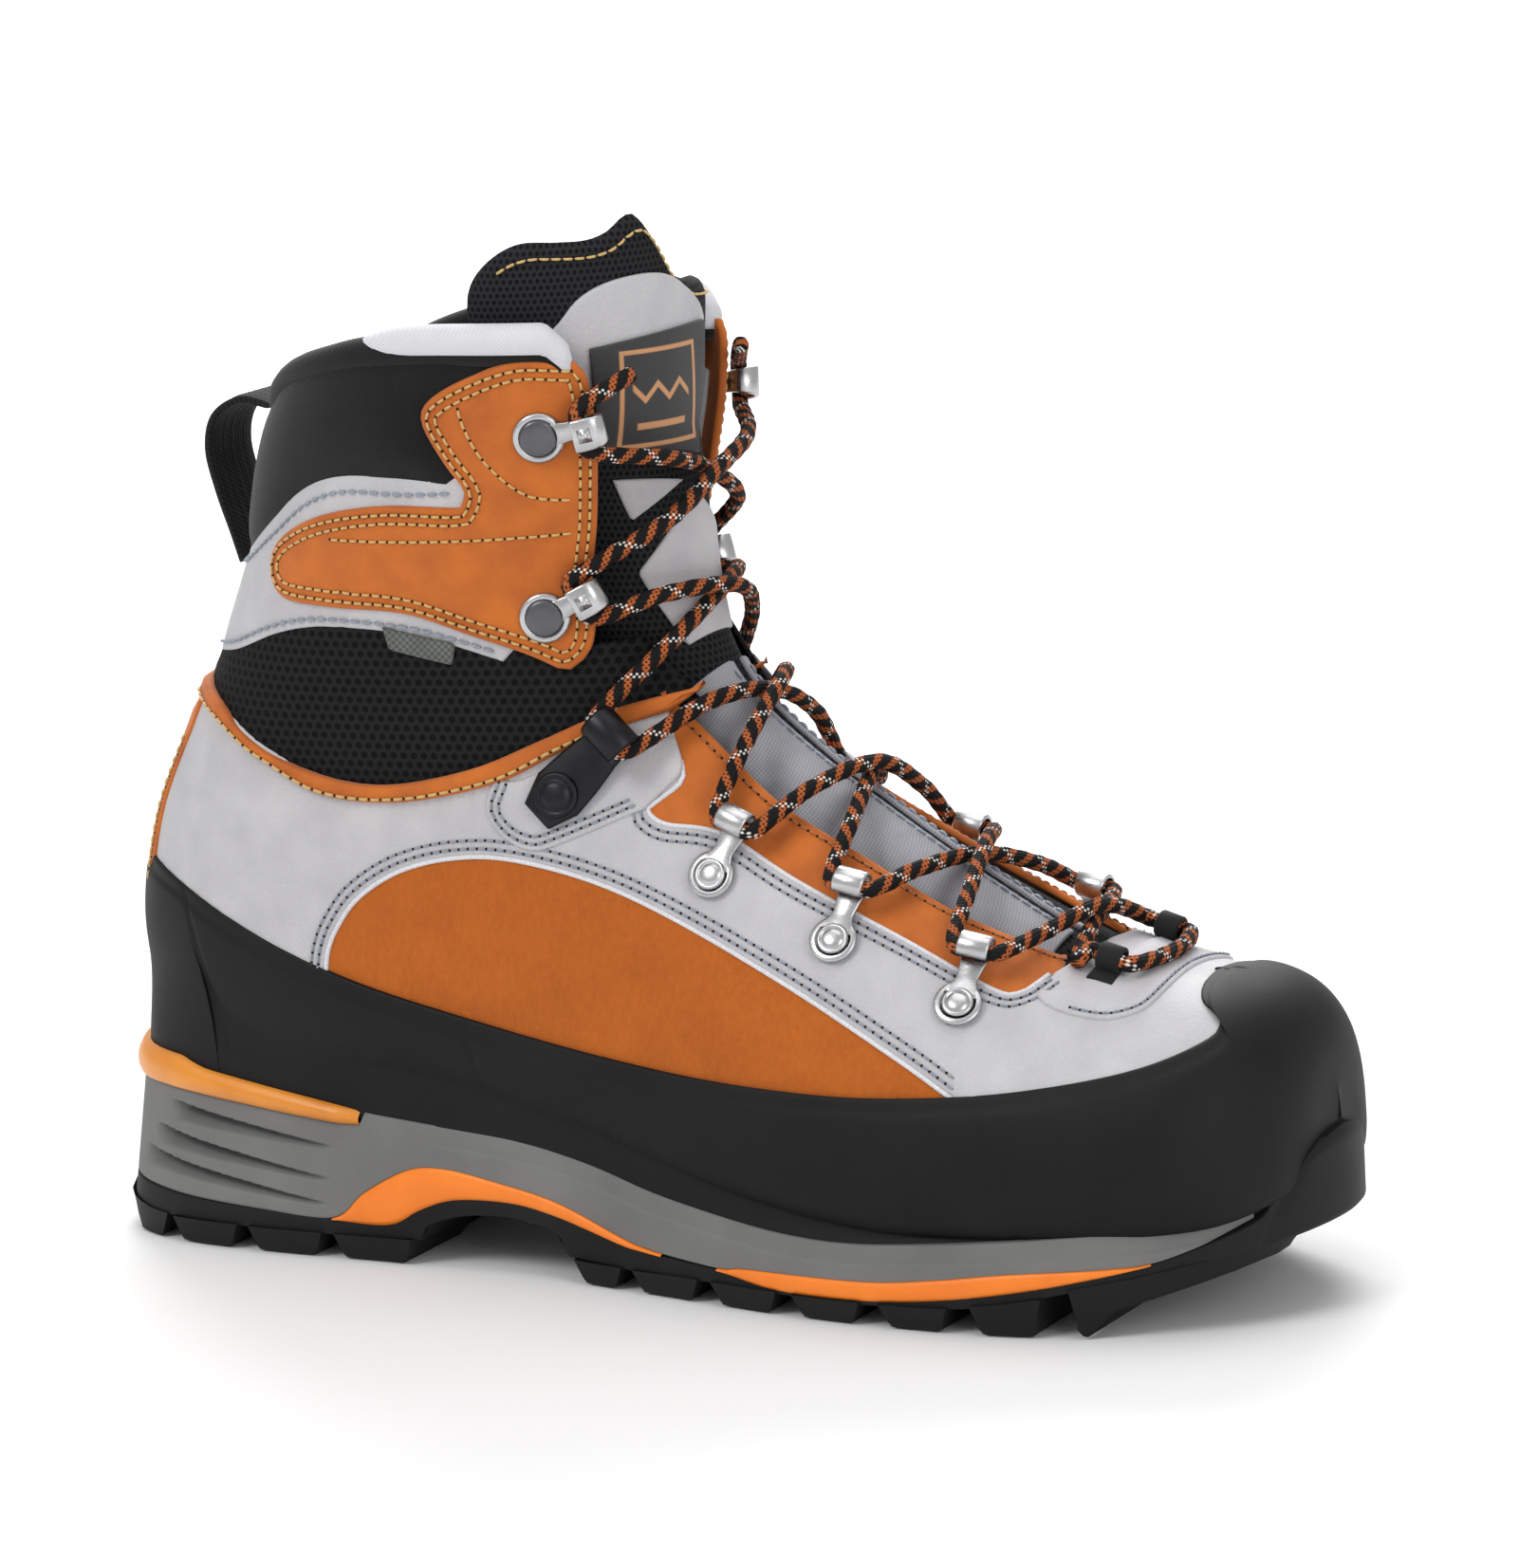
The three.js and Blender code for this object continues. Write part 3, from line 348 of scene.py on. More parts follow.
def edge_frame(uv, closed=True):
    """Points, normals and the left-hand direction along a chart line."""
    points = surface(uv[:, 0], uv[:, 1])
    normals = normal(uv[:, 0], uv[:, 1])
    if closed:
        tangent = unit(np.roll(points, -1, 0) - np.roll(points, 1, 0))
    else:
        tangent = unit(np.gradient(points, axis=0))
    return points, normals, unit(np.cross(normals, tangent))


def beside(uv, distance, closed=False):
    """A chart line moved sideways over the surface by a distance (left is positive)."""
    _, _, left = edge_frame(uv, closed)
    return uv + chart_step(uv, left * distance)


def counter_clockwise(uv):
    """The outline turned so that its inside is on the left, seen from outside the boot."""
    points, normals, left = edge_frame(uv)
    step = chart_step(uv, left * 0.3)
    probe = (uv + step) * CHART_SCALE
    share = inside(probe, uv * CHART_SCALE).mean()
    return uv if share > 0.5 else uv[::-1]


RING_SAMPLES = 160


def panel(name, outline, material, body, high, low=0.0, edge=0.9, cell=2.6, bulge=None, ground=None):
    """A sewn panel with a rounded edge. bulge(d, s, psi) adds height at a distance d from the edge,
    and ground(s, psi) is the height it lies on, the last's own face if there is none."""
    uv = outline[:-1] if np.allclose(outline[0], outline[-1]) else outline
    uv = counter_clockwise(uv)
    points, normals, left = edge_frame(uv)
    inner = uv + chart_step(uv, left * edge)
    flat = inner * CHART_SCALE
    fill = []
    rows = np.arange(inner[:, 0].min(), inner[:, 0].max(), cell / 16)
    low_psi, high_psi = inner[:, 1].min(), inner[:, 1].max()
    for i, s in enumerate(rows):
        psi = np.linspace(low_psi, high_psi, RING_SAMPLES)
        ring = surface(np.full(RING_SAMPLES, s), psi)
        reach = reach_along(ring)
        at = np.arange(cell * (0.3 + 0.5 * (i % 2)), reach[-1], cell)
        fill.append(np.stack([np.full(len(at), s), np.interp(at, reach, psi)], 1))
    fill = np.vstack(fill)
    flat_fill = fill * CHART_SCALE
    keep = inside(flat_fill, flat)
    fill, flat_fill = fill[keep], flat_fill[keep]
    gap = distance_to(flat_fill, flat)
    fill = fill[gap > 0.45 * cell]
    n = len(uv)
    everything = np.vstack([inner, fill])
    coords = [Vector(p) for p in (everything * CHART_SCALE).tolist()]
    result = delaunay_2d_cdt(coords, [], [list(range(n))], 1, 1e-6)
    top_uv = np.array([v[:] for v in result[0]]) / CHART_SCALE
    triangles = [list(f) for f in result[2]]
    where = {}
    for new, olds in enumerate(result[3]):
        for old in olds:
            where[old] = new
    rim = [where.get(k, where.get(k - 1, 0)) for k in range(n)]
    base = surface(top_uv[:, 0], top_uv[:, 1])
    out = normal(top_uv[:, 0], top_uv[:, 1])
    lie = ground(top_uv[:, 0], top_uv[:, 1]) if ground else np.zeros(len(top_uv))
    edge_lie = (ground(uv[:, 0], uv[:, 1]) if ground else np.zeros(len(uv)))[:, None]
    height = high + lie
    if bulge is not None:
        gap = distance_to(base, points)
        height += bulge(np.maximum(gap - edge, 0), top_uv[:, 0], top_uv[:, 1])
    top = base + out * height[:, None]
    a, b, c = (top[[t[k] for t in triangles]] for k in range(3))
    facing = (np.cross(b - a, c - a) * out[[t[0] for t in triangles]]).sum()
    if facing < 0:
        triangles = flipped(triangles)
    drop = min(edge, high - low)
    steps = [(edge * (1 - math.cos(t)), drop * (1 - math.sin(t))) for t in (1.2, 0.8, 0.4, 0.0)]
    rings = [points + left * inset + normals * (edge_lie + high - fall) for inset, fall in steps]
    rings.append(points + normals * (edge_lie + low))
    count = len(top)
    vertices = [top, *rings, base + out * (lie + low)[:, None]]
    faces = list(triangles)
    ring_at = [rim] + [list(range(count + r * n, count + (r + 1) * n)) for r in range(len(rings))]
    under = count + len(rings) * n
    ring_at.append([under + k for k in rim])
    for upper, lower in zip(ring_at, ring_at[1:]):
        for k in range(n):
            m = (k + 1) % n
            faces.append([upper[m], upper[k], lower[k], lower[m]])
    faces += flipped([[k + under for k in t] for t in triangles])
    faces = [f for f in faces if len(set(f)) > 2]
    return make(name, np.vstack(vertices), faces, material, body)


# ---- seam lines of the upper, in side view ----
RAND_EDGE = [(-151, 92), (-140, 89), (-123, 85), (-93, 71.5), (-68, 63.5), (-31, 56), (7, 51.5), (45, 50),
             (78, 51), (99, 53), (118, 56.5), (129, 61), (129.5, 64), (124, 66.5), (119, 69.5)]
QUARTER_ARC = [(-83, 66), (-82, 72), (-79, 78), (-73, 85), (-62, 91.5), (-48, 95), (-33, 95), (-10, 90),
               (15, 81), (42, 69.5), (66, 58), (79, 51)]
FACING_LOW = [(3, 116), (4, 112), (0, 108.5), (-2.5, 106), (2, 103), (15, 101), (34, 91.5), (61, 79.5),
              (81, 70.5), (87, 69.5), (90.5, 72)]
FLEX_BOTTOM = [(-117, 130), (-108, 126), (-101, 121), (-90, 115.5), (-76, 111.5), (-62, 111), (-43, 115),
               (-28, 121), (-14, 127), (-5, 129.5), (4, 131)]
TRIM_BOTTOM = [(-119, 126), (-108, 122), (-99, 117), (-95, 115), (-81, 108.2), (-61, 107), (-38, 111.5),
               (-23, 118.5), (-11, 123.5), (-1, 126.5)]
FLEX_TOP = [(-114, 137), (-104, 139.5), (-90, 145), (-77, 147.5), (-58, 146.5), (-46, 143.5), (-34, 139.5),
            (-20, 137.5), (-7, 138.5)]
BAND_TOP = [(-111, 158), (-104, 159), (-92, 167), (-80, 175.5), (-68, 179.5), (-52, 179.5), (-41, 180)]
COLLAR = [(-102, 190), (-97, 195), (-85, 203), (-71, 207.5), (-58, 210), (-40, 211), (-11, 210.5),
          (-4, 209.5)]
CUFF_TOP = [(-13, 206.8), (-24, 207.5), (-35, 204), (-44, 199), (-46, 194), (-42, 185), (-38.5, 179),
            (-40, 175)]
CUFF_LOBE = [(-40, 175), (-59, 175), (-76, 171.5), (-88, 165), (-91, 158), (-87, 152.5), (-74, 151.5),
             (-56, 150.5), (-41, 145), (-30, 140.5), (-24, 137.3)]
PATCH = [(-38, 113), (-40, 106), (-36, 100), (-29, 97), (-22, 98.5), (-3, 106)]


# ---- materials ----
class Look:
    """A procedural material being put together round a Principled shader."""

    def __init__(self, name, roughness=0.6, **sockets):
        self.material = bpy.data.materials.new(name)
        self.material.use_nodes = True
        self.tree = self.material.node_tree
        self.tree.nodes.clear()
        self.shader = self.tree.nodes.new("ShaderNodeBsdfPrincipled")
        output = self.tree.nodes.new("ShaderNodeOutputMaterial")
        self.tree.links.new(self.shader.outputs[0], output.inputs[0])
        self.shader.inputs["Roughness"].default_value = roughness
        for socket, value in sockets.items():
            self.shader.inputs[socket.replace("_", " ")].default_value = value
        self.position = None

    def node(self, kind, **settings):
        made = self.tree.nodes.new("ShaderNode" + kind)
        for key, value in settings.items():
            setattr(made, key, value)
        return made

    def feed(self, socket, value):
        if isinstance(value, bpy.types.NodeSocket):
            self.tree.links.new(value, socket)
        else:
            socket.default_value = value

    def place(self, kind="Object"):
        """Coordinates in millimetres: Object is the boot's frame, UV runs along a piece."""
        source = self.node("TexCoord").outputs[kind]
        scaled = self.node("VectorMath", operation="SCALE")
        self.feed(scaled.inputs[0], source)
        scaled.inputs["Scale"].default_value = 1000.0
        return scaled.outputs[0]

    def stretched(self, x, y, z, kind="Object"):
        product = self.node("VectorMath", operation="MULTIPLY")
        self.feed(product.inputs[0], self.place(kind))
        product.inputs[1].default_value = (x, y, z)
        return product.outputs[0]

    def axes(self, kind="Object"):
        return self.split(self.place(kind))

    def split(self, vector):
        parts = self.node("SeparateXYZ")
        self.feed(parts.inputs[0], vector)
        return parts.outputs

    def noise(self, size, detail=3.0, vector=None):
        """Cloudy values from 0 to 1 with features of a size in millimetres."""
        made = self.node("TexNoise")
        self.feed(made.inputs["Vector"], vector or self.place())
        made.inputs["Scale"].default_value = 1.0 / size
        made.inputs["Detail"].default_value = detail
        return made.outputs[0]

    def cells(self, size, feature="F1", vector=None):
        made = self.node("TexVoronoi", feature=feature)
        self.feed(made.inputs["Vector"], vector or self.place())
        made.inputs["Scale"].default_value = 1.0 / size
        return made.outputs["Distance"]

    def math(self, operation, a, b=0.0):
        made = self.node("Math", operation=operation)
        self.feed(made.inputs[0], a)
        self.feed(made.inputs[1], b)
        return made.outputs[0]

    def wave(self, value, period):
        """A sine wave that repeats every period millimetres."""
        return self.math("SINE", self.math("MULTIPLY", value, 2 * PI / period))

    def ramp(self, value, low, high, start=0.0, end=1.0):
        """value from low..high, clamped and turned into start..end."""
        made = self.node("MapRange")
        self.feed(made.inputs["Value"], value)
        made.inputs["From Min"].default_value = low
        made.inputs["From Max"].default_value = high
        made.inputs["To Min"].default_value = start
        made.inputs["To Max"].default_value = end
        return made.outputs[0]

    def mix(self, share, a, b):
        made = self.node("Mix", data_type="RGBA")
        self.feed(made.inputs[0], share)
        self.feed(made.inputs[6], (*a, 1.0) if isinstance(a, tuple) else a)
        self.feed(made.inputs[7], (*b, 1.0) if isinstance(b, tuple) else b)
        return made.outputs[2]

    def color(self, value):
        self.feed(self.shader.inputs["Base Color"], (*value, 1.0) if isinstance(value, tuple) else value)

    def bump(self, height, depth, strength=1.0, below=None):
        """Relief whose height 0..1 stands for depth millimetres."""
        made = self.node("Bump")
        made.inputs["Strength"].default_value = strength
        made.inputs["Distance"].default_value = depth * MM
        self.feed(made.inputs["Height"], height)
        if below is not None:
            self.feed(made.inputs["Normal"], below)
        self.feed(self.shader.inputs["Normal"], made.outputs[0])
        return made.outputs[0]


def nubuck():
    look = Look("nubuck", 0.78, Sheen_Weight=0.12, Sheen_Roughness=0.5)
    cloud = look.noise(9.0, 4.0)
    grain = look.noise(0.45, 3.0)
    look.color(look.mix(look.ramp(cloud, 0.3, 0.7), (0.38, 0.083, 0.003), (0.51, 0.124, 0.005)))
    pores = look.ramp(look.cells(0.8), 0.0, 0.25)
    look.bump(grain, 0.16, 0.5, look.bump(pores, 0.08, 0.4))
    return look.material


def suede():
    look = Look("suede", 0.95, Sheen_Weight=0.35, Sheen_Roughness=0.35)
    look.shader.inputs["Sheen Tint"].default_value = (1.0, 0.55, 0.3, 1.0)
    cloud = look.noise(14.0, 5.0)
    nap = look.noise(1.1, 4.0, look.stretched(1.0, 1.0, 0.45))
    fibre = look.noise(0.35, 3.0)
    patchy = look.math("ADD", look.math("MULTIPLY", cloud, 0.35), look.math("MULTIPLY", nap, 0.35))
    patchy = look.math("ADD", patchy, look.math("MULTIPLY", fibre, 0.3))
    look.color(look.mix(look.ramp(patchy, 0.33, 0.67), (0.335, 0.072, 0.003), (0.465, 0.112, 0.005)))
    look.bump(fibre, 0.3, 0.7)
    return look.material


def synthetic():
    look = Look("grained_synthetic", 0.62)
    cloud = look.noise(12.0, 3.0)
    grain = look.ramp(look.cells(0.85), 0.05, 0.5)
    tone = look.mix(look.ramp(cloud, 0.3, 0.7), (0.42, 0.41, 0.425), (0.5, 0.49, 0.5))
    look.color(look.mix(look.ramp(grain, 0.0, 1.0, 0.0, 0.16), tone, (0.27, 0.265, 0.29)))
    look.bump(grain, 0.14, 0.55)
    return look.material


def honeycomb(name, pitch, ground, thread, depth):
    """Three crossing cosine waves make open six-sided holes."""
    look = Look(name, 0.8, Specular_IOR_Level=0.15)
    axes = look.axes("UV")
    turn = 2 * PI / pitch
    total = None
    for angle in (90, 210, 330):
        along = look.math("MULTIPLY", axes[0], math.cos(math.radians(angle)) * turn)
        up = look.math("MULTIPLY", axes[1], math.sin(math.radians(angle)) * turn)
        wave = look.math("COSINE", look.math("ADD", along, up))
        total = wave if total is None else look.math("ADD", total, wave)
    wall = look.ramp(total, 0.9, 0.1)
    look.color(look.mix(wall, ground, thread))
    fuzz = look.noise(0.3, 2.0)
    look.bump(wall, depth, 0.9, look.bump(fuzz, 0.12, 0.5))
    return look.material


def knit(name, dark, light, rib, sheen=0.15, roughness=0.85):
    look = Look(name, roughness, Sheen_Weight=sheen, Specular_IOR_Level=0.2)
    axes = look.axes()
    ribs = look.wave(axes[2], rib)
    wales = look.wave(look.math("ADD", axes[0], axes[1]), rib * 1.2)
    weave = look.ramp(look.math("MULTIPLY", ribs, wales), -1.0, 1.0)
    cloud = look.noise(8.0, 3.0)
    look.color(look.mix(look.math("MULTIPLY", cloud, weave), dark, light))
    look.bump(weave, 0.12, 0.5)
    return look.material


def rubber(name, dark, light, roughness, grit):
    look = Look(name, roughness, Specular_IOR_Level=0.22)
    cloud = look.noise(22.0, 4.0)
    specks = look.noise(grit, 3.0)
    look.color(look.mix(look.ramp(cloud, 0.3, 0.75), dark, light))
    look.feed(look.shader.inputs["Roughness"], look.ramp(cloud, 0.2, 0.8, roughness - 0.08, roughness + 0.08))
    look.bump(specks, 0.07, 0.5)
    return look.material


def moulded(name, dark, light, roughness, subsurface=0.0):
    look = Look(name, roughness, Subsurface_Weight=subsurface, Subsurface_Scale=0.002)
    cloud = look.noise(16.0, 3.0)
    look.color(look.mix(look.ramp(cloud, 0.3, 0.7), dark, light))
    look.bump(look.noise(0.5, 2.0), 0.05, 0.4)
    return look.material


def webbing():
    look = Look("black_webbing", 0.8, Sheen_Weight=0.05, Specular_IOR_Level=0.2)
    axes = look.axes("UV")
    warp = look.wave(axes[1], 1.1)
    weft = look.math("SINE", look.math("ADD", look.math("MULTIPLY", axes[0], 2 * PI / 1.3),
                                       look.math("MULTIPLY", axes[1], 2 * PI / 2.2)))
    weave = look.ramp(look.math("ADD", warp, weft), -2.0, 2.0)
    look.color(look.mix(weave, (0.003, 0.003, 0.0035), (0.02, 0.02, 0.021)))
    look.bump(weave, 0.3, 0.8)
    return look.material


LACE_RADIUS = 1.8
# the braid repeats six times round the lace
STRAND = round(2 * PI * LACE_RADIUS / 6, 3)


def braid():
    """Crossing strands: rust over black with pale flecks."""
    look = Look("braided_lace", 0.8, Specular_IOR_Level=0.2)
    axes = look.axes("UV")
    right = look.math("ADD", axes[0], axes[1])
    left = look.math("SUBTRACT", axes[0], axes[1])
    one = look.wave(right, STRAND)
    two = look.wave(left, STRAND)
    strand = look.ramp(look.math("MULTIPLY", one, two), -0.9, 0.9)
    rust_band = look.wave(right, 3 * STRAND)
    rust = look.math("MULTIPLY", look.ramp(rust_band, 0.1, 0.45), look.ramp(strand, 0.1, 0.45))
    fleck_a = look.ramp(look.wave(left, 6 * STRAND), 0.86, 0.93)
    fleck = look.math("MULTIPLY", fleck_a, look.ramp(strand, 0.5, 0.75))
    body = look.mix(rust, (0.005, 0.0045, 0.005), (0.4, 0.1, 0.025))
    look.color(look.mix(fleck, body, (0.7, 0.68, 0.64)))
    look.bump(strand, 0.35, 0.8)
    return look.material


def metal(name, tint, roughness, grain):
    look = Look(name, roughness, Metallic=1.0)
    lines = look.noise(grain, 4.0, look.stretched(0.25, 1.0, 1.6))
    cloud = look.noise(4.0, 3.0)
    look.color(look.mix(look.ramp(cloud, 0.3, 0.7), tuple(0.86 * c for c in tint), tint))
    look.feed(look.shader.inputs["Roughness"], look.ramp(lines, 0.2, 0.8, roughness - 0.08, roughness + 0.1))
    look.bump(lines, 0.03, 0.4)
    return look.material


def thread(name, tint):
    look = Look(name, 0.55, Sheen_Weight=0.15)
    twist = look.noise(0.35, 2.0, look.stretched(1.0, 1.0, 1.4))
    look.color(look.mix(look.ramp(twist, 0.35, 0.65), tuple(0.7 * c for c in tint), tint))
    look.bump(twist, 0.1, 0.6)
    return look.material


def woven_label():
    """Black woven ground with a copper border and an abstract zigzag."""
    look = Look("woven_label", 0.6, Sheen_Weight=0.1)
    axes = look.axes("UV")
    weft = look.wave(axes[1], 0.55)
    warp = look.wave(axes[0], 0.7)
    weave = look.ramp(look.math("MULTIPLY", weft, warp), -1.0, 1.0)
    wide = look.math("ABSOLUTE", axes[0])
    tall = look.math("ABSOLUTE", axes[1])
    outside = look.math("MAXIMUM", look.math("SUBTRACT", wide, 10.4), look.math("SUBTRACT", tall, 10.2))
    border = look.math("MULTIPLY", look.ramp(outside, -0.3, 0.0), look.ramp(outside, 1.0, 0.7))
    peak = look.math("PINGPONG", look.math("ADD", axes[0], 12.0), 3.4)
    gap = look.math("ABSOLUTE", look.math("SUBTRACT", axes[1], look.math("SUBTRACT", peak, 0.4)))
    line = look.math("MULTIPLY", look.ramp(gap, 1.0, 0.6), look.ramp(wide, 8.6, 8.0))
    bar = look.ramp(look.math("ABSOLUTE", look.math("ADD", axes[1], 6.2)), 0.9, 0.6)
    under = look.math("MULTIPLY", bar, look.ramp(wide, 7.2, 6.8))
    copper = look.math("MAXIMUM", border, look.math("MAXIMUM", line, under))
    ground = look.mix(weave, (0.008, 0.008, 0.009), (0.03, 0.028, 0.029))
    look.color(look.mix(copper, ground, (0.5, 0.24, 0.1)))
    look.bump(look.math("ADD", weave, copper), 0.12, 0.6)
    return look.material


NUBUCK = nubuck()
SUEDE = suede()
SYNTHETIC = synthetic()
MESH = honeycomb("honeycomb_mesh", 2.1, (0.001, 0.001, 0.0015), (0.01, 0.01, 0.011), 0.6)
TONGUE_MESH = honeycomb("tongue_mesh", 1.5, (0.002, 0.002, 0.003), (0.017, 0.017, 0.019), 0.35)
STRETCH = knit("stretch_knit", (0.0015, 0.0015, 0.0015), (0.009, 0.009, 0.0095), 0.7)
LINING = knit("lining_knit", (0.01, 0.01, 0.012), (0.05, 0.05, 0.055), 1.1, 0.3)
BINDING = knit("edge_binding", (0.5, 0.5, 0.53), (0.68, 0.68, 0.71), 0.9, 0.2, 0.75)
WOVEN_TAG = knit("woven_tag", (0.05, 0.055, 0.05), (0.22, 0.23, 0.21), 1.6)
STRIP = knit("grey_textile", (0.22, 0.22, 0.24), (0.5, 0.5, 0.54), 1.0, 0.2)
RAND_RUBBER = rubber("rand_rubber", (0.0025, 0.0025, 0.003), (0.007, 0.007, 0.0075), 0.6, 0.5)
SOLE_RUBBER = rubber("sole_rubber", (0.004, 0.004, 0.004), (0.01, 0.01, 0.011), 0.6, 0.8)
GREY_FOAM = rubber("grey_foam", (0.14, 0.14, 0.138), (0.18, 0.18, 0.175), 0.7, 0.6)
AMBER = moulded("amber_ledge", (0.6, 0.2, 0.015), (0.74, 0.28, 0.025), 0.35, 0.1)
ORANGE_PLASTIC = moulded("orange_shank", (0.78, 0.17, 0.005), (0.88, 0.22, 0.008), 0.4, 0.05)
WEBBING = webbing()
LACE = braid()
STEEL = metal("satin_steel", (0.52, 0.52, 0.53), 0.3, 0.5)
GUNMETAL = metal("gunmetal", (0.13, 0.13, 0.14), 0.36, 0.5)
BLACK_METAL = metal("black_metal", (0.03, 0.03, 0.033), 0.38, 0.6)
GOLD_THREAD = thread("gold_thread", (0.62, 0.4, 0.13))
RUST_THREAD = thread("rust_thread", (0.4, 0.12, 0.02))
BLUE_THREAD = thread("blue_grey_thread", (0.27, 0.31, 0.38))
# painted shade: dark brown dots that stand for the shadow inside the needle holes
NEEDLE_HOLE_SHADE = rubber("needle_hole_shade", (0.02, 0.008, 0.004), (0.03, 0.012, 0.006), 0.9, 0.4)
LABEL = woven_label()
FOOTBED = knit("footbed_cover", (0.012, 0.012, 0.014), (0.04, 0.04, 0.045), 1.4, 0.2)
BOARD = rubber("insole_board", (0.2, 0.16, 0.11), (0.3, 0.25, 0.18), 0.85, 0.7)
PIPING = thread("white_piping", (0.72, 0.72, 0.75))


# ---- the bend at the ankle ----
BEND_LOW, BEND_HIGH = 112.0, 146.0
ANKLE = ("foot", "cuff", (-0.05, 0.0, BEND_LOW * MM), (-0.05, 0.0, BEND_HIGH * MM))
TONGUE_BEND = ("foot", "cuff", (0.0, 0.0, 0.122), (0.0, 0.0, 0.150))
FOLD_BEND = ("cuff", "tongue_flap", (0.0, 0.0, 0.200), (0.0, 0.0, 0.215))


def cover(obj, slot, *nodes):
    """Puts a piece in the place of the CAD nodes it stands for, by hiding them. The slot argument is not
    used.
    """
    if nodes:
        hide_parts(*nodes)
    return obj


def arc_uv(uv):
    """Flat coordinates of chart points in metres: distance round the section, and height."""
    share = np.linspace(0, 1, 40)
    psi = uv[:, 1:2] * share
    ring = surface(np.repeat(uv[:, 0:1], 40, 1), psi)
    reach = np.linalg.norm(np.diff(ring, axis=1), axis=2).sum(1) * np.sign(uv[:, 1])
    top = surface(uv[:, 0], uv[:, 1])[:, 2]
    return np.stack([reach, top], 1) * MM


def mirror(uv):
    return uv * [1, -1]


def turner(side):
    """Keeps a lateral chart line as it is, or mirrors it for the medial side."""
    return (lambda uv: uv) if side == LATERAL else mirror


def from_back(uv):
    """The line with a first point added on the middle of the back."""
    return np.vstack([[[uv[0, 0], PI]], uv])


def wrap(uv):
    """The medial twin of a lateral line, past the back of the boot."""
    return np.stack([uv[:, 0], 2 * PI - uv[:, 1]], 1)


def line(*points, side=LATERAL, step=1.6):
    """A smooth chart line through side-view points."""
    return chart(smooth(points, step), side)


def loop(*stretches):
    """Chart outline from stretches of side-view points, corners kept at their joins."""
    return chart(path(*stretches, step=1.9))


def fillet(body, radius):
    """A soft shoulder that reaches body millimetres above the edge within radius."""
    return lambda d, s, psi: body * (1 - np.exp(-d / radius))


# ---- stitches ----
def stitch_row(uv, height, pitch, length, radius):
    """Stitches, and dots of painted shade at their needle holes, along a chart line, as two vertex and face
    lists.
    """
    points = off(uv[:, 0], uv[:, 1], height)
    normals = normal(uv[:, 0], uv[:, 1])
    reach = reach_along(points)
    starts = np.arange(pitch * 0.3, reach[-1] - length, pitch)

    def at(distance):
        point = np.array([np.interp(distance, reach, points[:, k]) for k in range(3)])
        out = unit(np.array([np.interp(distance, reach, normals[:, k]) for k in range(3)]))
        return point, out

    threads, holes = [], []
    for start in starts:
        a, out_a = at(start)
        b, out_b = at(start + length)
        run = [a - out_a * 0.25, a + (b - a) * 0.16 + out_a * 0.14, (a + b) / 2 + out_a * 0.26,
               b - (b - a) * 0.16 + out_b * 0.14, b - out_b * 0.25]
        threads.append(tube(run, radius * np.array([0.7, 1.0, 1.05, 1.0, 0.7]), 6))
        middle, out = at(start - (pitch - length) / 2)
        # painted shade: a dark dot at each needle hole
        holes.append(dot(middle, out, 0.36))
    return threads, holes


def dot(point, out, radius):
    """A small flat disc, just proud of the surface, that carries the painted shade of a needle hole."""
    side = unit(np.cross(out, [0.3, 0.2, 0.9]))
    other = np.cross(out, side)
    angle = np.linspace(0, 2 * PI, 7)[:-1]
    ring = point + out * 0.05 + radius * (np.cos(angle)[:, None] * side + np.sin(angle)[:, None] * other)
    below = ring - out * 0.4
    faces = [list(range(6)), list(range(6, 12))[::-1]]
    faces += [[k + 6, (k + 1) % 6 + 6, (k + 1) % 6, k] for k in range(6)]
    return np.vstack([ring, below]), faces


def stitches(name, rows, height, material, body, holes, slot_name, pitch=2.9, radius=0.36):
    """Rows of stitching as one piece for the thread and one for the painted shade of the needle holes."""
    threads, marks = [], []
    for row in rows:
        t, h = stitch_row(row, height, pitch, pitch * 0.76, radius)
        threads += t
        marks += h
    cover(make(name, *join(threads), material, body), slot_name)
    if holes:
        # the dots of painted shade at the needle holes, as a piece of their own
        cover(make(name + "_hole_shade", *join(marks), NEEDLE_HOLE_SHADE, body), slot_name)


FINE_STITCH = (2.3, 0.27)


def piping(name, uv, height, radius, material, body):
    """A thin cord laid along a chart line."""
    points = off(uv[:, 0], uv[:, 1], height)
    return make(name, *tube(points, radius, 8), material, body)


# ---- upper of the foot: shell, quarters, facings, patches, trim and backstay ----
back_low = line((-138, 84), (-123, 80.5), (-100, 70), (-85, 62))
toe_low = line((83, 46.5), (99, 48.5), (118, 51), (131, 56), (134, 62), (131, 66))
arc = line((-84, 60), *QUARTER_ARC, (83, 46.5))
shell_low = np.vstack([[[back_low[0, 0], PI]], back_low, arc[1:-1], toe_low, [[3.0, 0.0]]])
shell_top = line(*TRIM_BOTTOM)
shell_top = np.vstack([[[shell_top[0, 0], PI]], beside(shell_top, 3.0)])
facing_edge = line(*FACING_LOW)
tip_edge = line((90.5, 72), (94, 74.5), step=0.8)
shell_outline = np.vstack([
    shell_low, mirror(shell_low)[::-1][1:], mirror(shell_top)[1:], mirror(facing_edge), mirror(tip_edge),
    [[tip_edge[-1, 0], 0.0]], tip_edge[::-1], facing_edge[::-1], shell_top[::-1][:-1]])
cover(panel("shell", shell_outline, SYNTHETIC, "foot", 2.1, 0.9, 0.9, 2.8, fillet(0.2, 2)),
      "grey_synthetic", "shell_lateral", "shell_medial")


